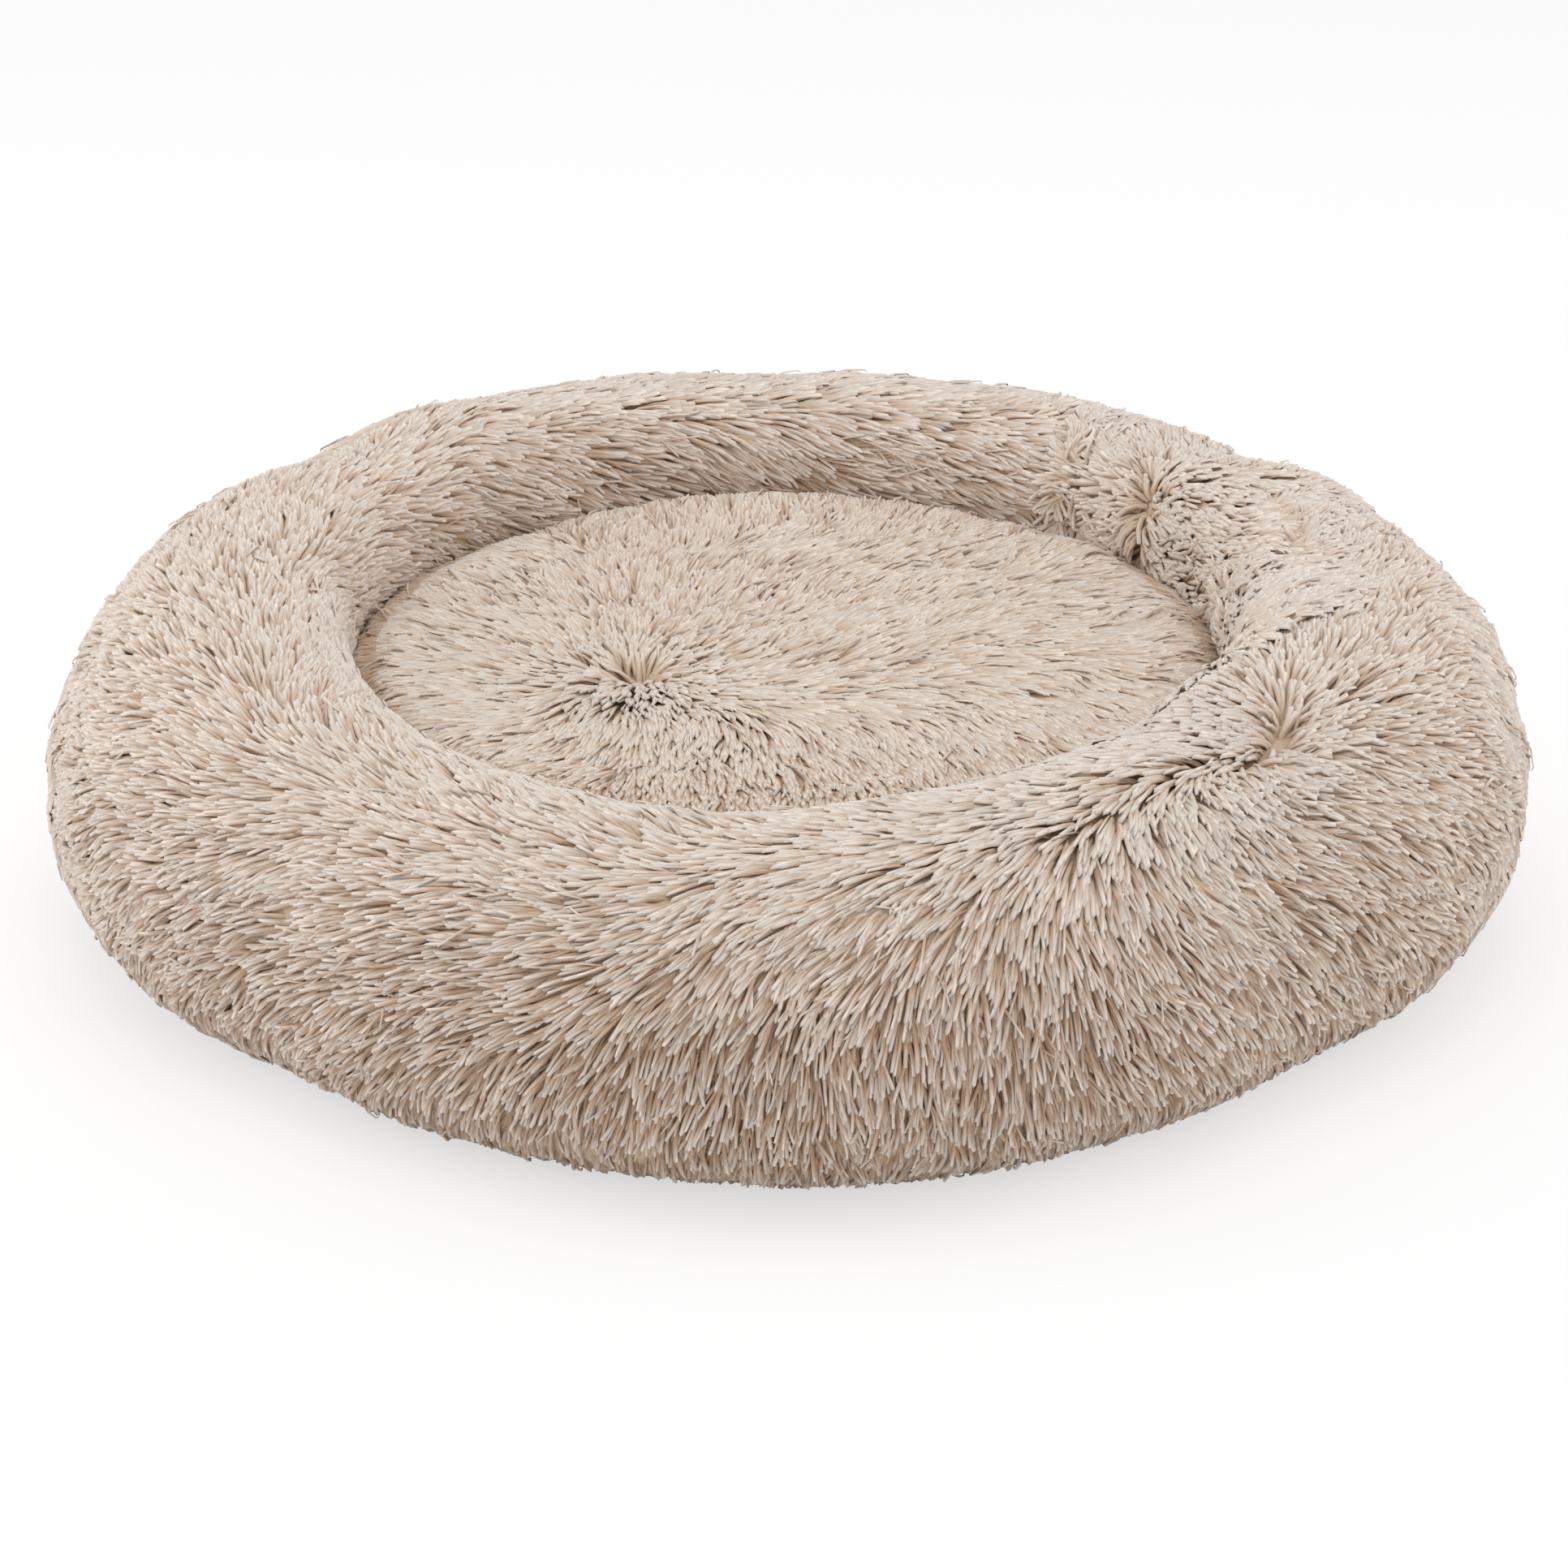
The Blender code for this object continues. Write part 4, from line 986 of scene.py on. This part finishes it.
def stitched(name, places, level):
    """One piece of the stitches at these places, each a point and the way that its thread runs."""
    bm = bmesh.new()
    for x, y, turned in places:
        shape = (Matrix.Translation((x, y, level)) @ Matrix.Rotation(turned, 4, "Z")
                 @ Matrix.Diagonal((STITCH_LENGTH / 2, STITCH_WIDTH / 2, STITCH_WIDTH / 2, 1)))
        bmesh.ops.create_icosphere(bm, subdivisions=1, radius=1, matrix=shape)
    piece = mesh_piece(name, bm, thread)
    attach(piece, "bed")


def thickened(piece, thickness, offset):
    shell = piece.modifiers.new("cloth", "SOLIDIFY")
    shell.thickness = thickness
    shell.offset = offset


def corners(node):
    """The low and the high corner of a piece of the frame."""
    return [Vector(corner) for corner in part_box(node)]


slot_half_width = corners("zip_slider")[1].y + SLOT_CLEARANCE
slot_end = corners("zip_bottom_stop")[1].x + SLOT_CLEARANCE
base_line = ((0, BASE_RECESS), (INNER_RADIUS, BASE_RECESS),
             (INNER_RADIUS + RECESS_RAMP / 2, BASE_RECESS / 2),
             (INNER_RADIUS + RECESS_RAMP, OXFORD_LIFT), (BASE_SEAM_RADIUS - SEAM_GAP, OXFORD_LIFT))
for side, facing in (("front", -1), ("back", 1)):
    bm = bmesh.new()
    drawn(bm, base_line)
    spun(bm, facing * math.pi, BASE_STEPS)
    bmesh.ops.remove_doubles(bm, verts=bm.verts[:], dist=SEAM_GAP / 10)
    for spot, way in (((0, facing * SEAM_GAP / 2, 0), (0, -facing, 0)),
                      ((0, facing * slot_half_width, 0), (0, 1, 0)),
                      ((slot_end, 0, 0), (1, 0, 0)), ((-slot_end, 0, 0), (1, 0, 0))):
        bmesh.ops.bisect_plane(bm, geom=bm.verts[:] + bm.edges[:] + bm.faces[:], plane_co=spot,
                               plane_no=way, clear_outer=abs(spot[1]) == SEAM_GAP / 2)
    slot = [face for face in bm.faces if abs(face.calc_center_median().x) < slot_end
            and abs(face.calc_center_median().y) < slot_half_width]
    bmesh.ops.delete(bm, geom=slot, context="FACES")
    mould_verts(bm)
    bmesh.ops.recalc_face_normals(bm, faces=bm.faces[:])
    if sum(face.normal.z for face in bm.faces) > 0:
        bmesh.ops.reverse_faces(bm, faces=bm.faces[:])
    cloth = mesh_piece("base_oxford_" + side, bm, oxford)
    thickened(cloth, OXFORD_THICKNESS, -1)
    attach(cloth, "bed")
    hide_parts("base_cloth_" + side)

edge_radius = BASE_SEAM_RADIUS - EDGE_STITCH_INSET
edge_count = int(2 * math.pi * edge_radius / STITCH_PITCH)
edge_turns = np.arange(edge_count) / edge_count * 2 * math.pi
edge_places = moulded(edge_turns, np.full(edge_count, edge_radius), np.zeros(edge_count))
stitched("edge_stitching", [(x, y, turned + math.pi / 2) for (x, y, _), turned
                            in zip(edge_places, edge_turns)], OXFORD_LIFT)
hem_xs = np.arange(-slot_end, slot_end, STITCH_PITCH) + STITCH_PITCH / 2
hem_ys = [facing * (slot_half_width + inset) for facing in (-1, 1) for inset in HEM_STITCH_INSETS]
stitched("zip_stitching", [(x, y, 0) for y in hem_ys for x in hem_xs], BASE_RECESS - STITCH_WIDTH / 5)

# The zip
# A nylon coil zip sewn into the slot: two woven tapes, a row of coiled loops along each, metal
# stops at the ends, and a plated slider whose pull hangs under it.
COIL_WIRE = 0.00062
COIL_PITCH = 0.0014
COIL_POINTS_A_TURN = 10
TAPE_THICKNESS = 0.0005
TAPE_TWILL = 0.0012
TAPE_RIB = 0.0021
TAPE_STEPS = (90, 3)
TWILL_RELIEF = 0.0002
NYLON_FLOW = 1 / 900
NICKEL_PEEL = 1 / 700
NICKEL_RUB = 1 / 180
PEEL_RELIEF = 0.0001

# Woven polyester tape: dull herringbone, its slant turning over from rib to rib
ribbon, place = patterned("woven polyester zip tape")
ribbon_ways = add(ribbon, "ShaderNodeSeparateXYZ", {}, {"Vector": place})
zigzag = add(ribbon, "ShaderNodeMath", {"operation": "PINGPONG"}, {
    0: ribbon_ways.outputs["Y"], 1: TAPE_RIB})
slanted = add(ribbon, "ShaderNodeMath", {"operation": "ADD"}, {
    0: ribbon_ways.outputs["X"], 1: zigzag.outputs[0]})
twill_place = add(ribbon, "ShaderNodeCombineXYZ", {}, {"X": slanted.outputs[0]})
twill = add(ribbon, "ShaderNodeTexWave", {}, {
    "Vector": twill_place.outputs[0], "Scale": WAVE_A_METRE / TAPE_TWILL}).outputs["Fac"]
two_toned(ribbon, twill, (linear("#75665A"), linear("#988775")), twill, 0.5, TWILL_RELIEF,
          {"Roughness": 0.8})

# Nylon: smooth and slightly waxy, with faint flow lines
nylon, place = patterned("satin nylon coil")
flow_lines = add(nylon, "ShaderNodeTexNoise", {}, {"Vector": place, "Scale": 1 / NYLON_FLOW, "Detail": 2})
nylon_tone = add(nylon, "ShaderNodeMix", {"data_type": "RGBA"}, {
    "Factor": flow_lines.outputs[0], 6: linear("#7A6B5C"), 7: linear("#8F7F6F")})
nylon_gloss = add(nylon, "ShaderNodeMapRange", {}, {
    "Value": flow_lines.outputs[0], "To Min": 0.30, "To Max": 0.45})
closed(nylon, add(nylon, "ShaderNodeBsdfPrincipled", {}, {
    "Base Color": nylon_tone.outputs[2], "Roughness": nylon_gloss.outputs[0]}))

# Nickel-plated zinc: bright, a little orange-peeled from the casting, with finely rubbed patches
nickel, place = patterned("nickel-plated zinc")
peel = add(nickel, "ShaderNodeTexNoise", {}, {"Vector": place, "Scale": 1 / NICKEL_PEEL, "Detail": 3})
rubbed = add(nickel, "ShaderNodeTexNoise", {}, {"Vector": place, "Scale": 1 / NICKEL_RUB, "Detail": 5})
nickel_gloss = add(nickel, "ShaderNodeMapRange", {}, {
    "Value": rubbed.outputs[0], "From Min": 0.3, "From Max": 0.7, "To Min": 0.22, "To Max": 0.42})
two_toned(nickel, rubbed.outputs[0], (linear("#B3AFA7"), linear("#CFCCC4")), peel.outputs[0],
          0.3, PEEL_RELIEF, {"Metallic": 1.0, "Roughness": nickel_gloss.outputs[0]})

for side in ("front", "back"):
    low, high = corners("zip_tape_" + side)
    bm = bmesh.new()
    bmesh.ops.create_grid(bm, x_segments=TAPE_STEPS[0], y_segments=TAPE_STEPS[1], size=0.5)
    bmesh.ops.scale(bm, vec=(high.x - low.x, high.y - low.y, 1), verts=bm.verts)
    bmesh.ops.translate(bm, vec=(low + high) / 2, verts=bm.verts)
    tape = mesh_piece("zip_ribbon_" + side, bm, ribbon)
    thickened(tape, TAPE_THICKNESS, 0)
    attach(tape, "bed")
    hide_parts("zip_tape_" + side)

    low, high = corners("zip_coil_" + side)
    middle = (low + high) / 2
    curve = bpy.data.curves.new("zip_loops_" + side, "CURVE")
    curve.dimensions = "3D"
    curve.bevel_depth = COIL_WIRE / 2
    curve.bevel_resolution = 1
    curve.use_fill_caps = True
    loops = curve.splines.new("POLY")
    loops.points.add(int((high.x - low.x - COIL_WIRE) / COIL_PITCH * COIL_POINTS_A_TURN))
    for i, point in enumerate(loops.points):
        turned = i / COIL_POINTS_A_TURN * 2 * math.pi
        point.co = (low.x + COIL_WIRE / 2 + COIL_PITCH * i / COIL_POINTS_A_TURN,
                    middle.y + (high.y - low.y - COIL_WIRE) / 2 * math.sin(turned),
                    middle.z + (high.z - low.z - COIL_WIRE) / 2 * math.cos(turned), 1)
    curve.materials.append(nylon)
    coil = placed("zip_loops_" + side, curve)
    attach(coil, "bed")
    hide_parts("zip_coil_" + side)

for name in ("zip_top_stop_front", "zip_top_stop_back", "zip_bottom_stop", "zip_slider", "zip_pull"):
    bpy.data.objects[name].material_slots[0].material = nickel

# The bags and their filling
# Inside the cover are the bolster and the cushion, each a bag of thin nonwoven cloth stuffed with
# loose fibre. They stay as they are in the frame, because nothing of them shows.
BOND_SPACING = 0.0025
BOND_RELIEF = 0.0003
FIBRE_CLUMP = 1 / 90
CLUMP_RELIEF = 0.004

# Nonwoven polypropylene: thin, dull and white, pressed into small bond points
nonwoven, place = patterned("thin nonwoven lining")
bonds = add(nonwoven, "ShaderNodeTexVoronoi", {}, {
    "Vector": place, "Scale": 1 / BOND_SPACING, "Randomness": 0.2}).outputs["Distance"]
two_toned(nonwoven, bonds, (linear("#DEDCD7"), linear("#F2F0EC")), bonds, 0.4, BOND_RELIEF,
          {"Roughness": 0.85})

# Carded polyester fibre: very soft and white, in cloudy clumps
fibrefill, place = patterned("loose polyester fibre filling")
clumps = add(fibrefill, "ShaderNodeTexNoise", {}, {
    "Vector": place, "Scale": 1 / FIBRE_CLUMP, "Detail": 8, "Distortion": 1.5}).outputs[0]
two_toned(fibrefill, clumps, (linear("#E2E2E0"), linear("#FAFAF9")), clumps, 0.8, CLUMP_RELIEF,
          {"Roughness": 0.95})

for part in ("bolster", "cushion"):
    bpy.data.objects[part + "_liner"].material_slots[0].material = nonwoven
    bpy.data.objects[part + "_filling"].material_slots[0].material = fibrefill

# The floor and the light
# A white studio floor under a plain white sky, with a broad lamp overhead and a weaker one low at
# each side of the bed.
FLOOR_REACH = 40
FLOOR_WHITENING = 0.6
FLOOR_GLOW = 1.04
SKY_LIGHT = 0.77
LAMPS = (("key", (-0.1, -0.2, 2.7), 2.0, 18), ("left", (-2.5, 0.2, 0.8), 1.8, 13),
         ("right", (2.5, 0.2, 0.8), 1.8, 9))

# Matte paper, which the camera sees as white while it still takes the bed's shadow
paper = new_material("white studio floor")
seen = add(paper, "ShaderNodeLightPath", {}, {})
whiter = add(paper, "ShaderNodeMath", {"operation": "MULTIPLY"}, {
    0: seen.outputs["Is Camera Ray"], 1: FLOOR_WHITENING})
matte = add(paper, "ShaderNodeBsdfDiffuse", {}, {"Color": linear("#F6F6F6")})
white = add(paper, "ShaderNodeEmission", {}, {"Color": linear("#FFFFFF"), "Strength": FLOOR_GLOW})
closed(paper, add(paper, "ShaderNodeMixShader", {}, {
    0: whiter.outputs[0], 1: matte.outputs[0], 2: white.outputs[0]}))
bm = bmesh.new()
bmesh.ops.create_grid(bm, x_segments=2, y_segments=2, size=FLOOR_REACH)
mesh_piece("studio_floor", bm, paper)

world = bpy.data.worlds.new("studio")
scene.world = world
world.use_nodes = True
world.node_tree.nodes.clear()
rays = add(world, "ShaderNodeLightPath", {}, {})
seen = rays.outputs["Is Camera Ray"]
for other in ("Is Glossy Ray", "Is Transmission Ray"):
    seen = add(world, "ShaderNodeMath", {"operation": "MAXIMUM"}, {
        0: seen, 1: rays.outputs[other]}).outputs[0]
strength = add(world, "ShaderNodeMapRange", {}, {"Value": seen, "To Min": SKY_LIGHT, "To Max": 1.0})
sky = add(world, "ShaderNodeBackground", {}, {
    "Color": linear("#FFFFFF"), "Strength": strength.outputs[0]})
add(world, "ShaderNodeOutputWorld", {}, {"Surface": sky.outputs[0]})

for name, place, size, power in LAMPS:
    lamp = bpy.data.lights.new(name, "AREA")
    lamp.shape = "DISK"
    lamp.size = size
    lamp.energy = power
    stand = placed(name + "_lamp", lamp)
    stand.location = place
    stand.rotation_euler = (CAMERA_AIM - Vector(place)).to_track_quat("-Z", "Y").to_euler()

scene.view_settings.view_transform = "Standard"
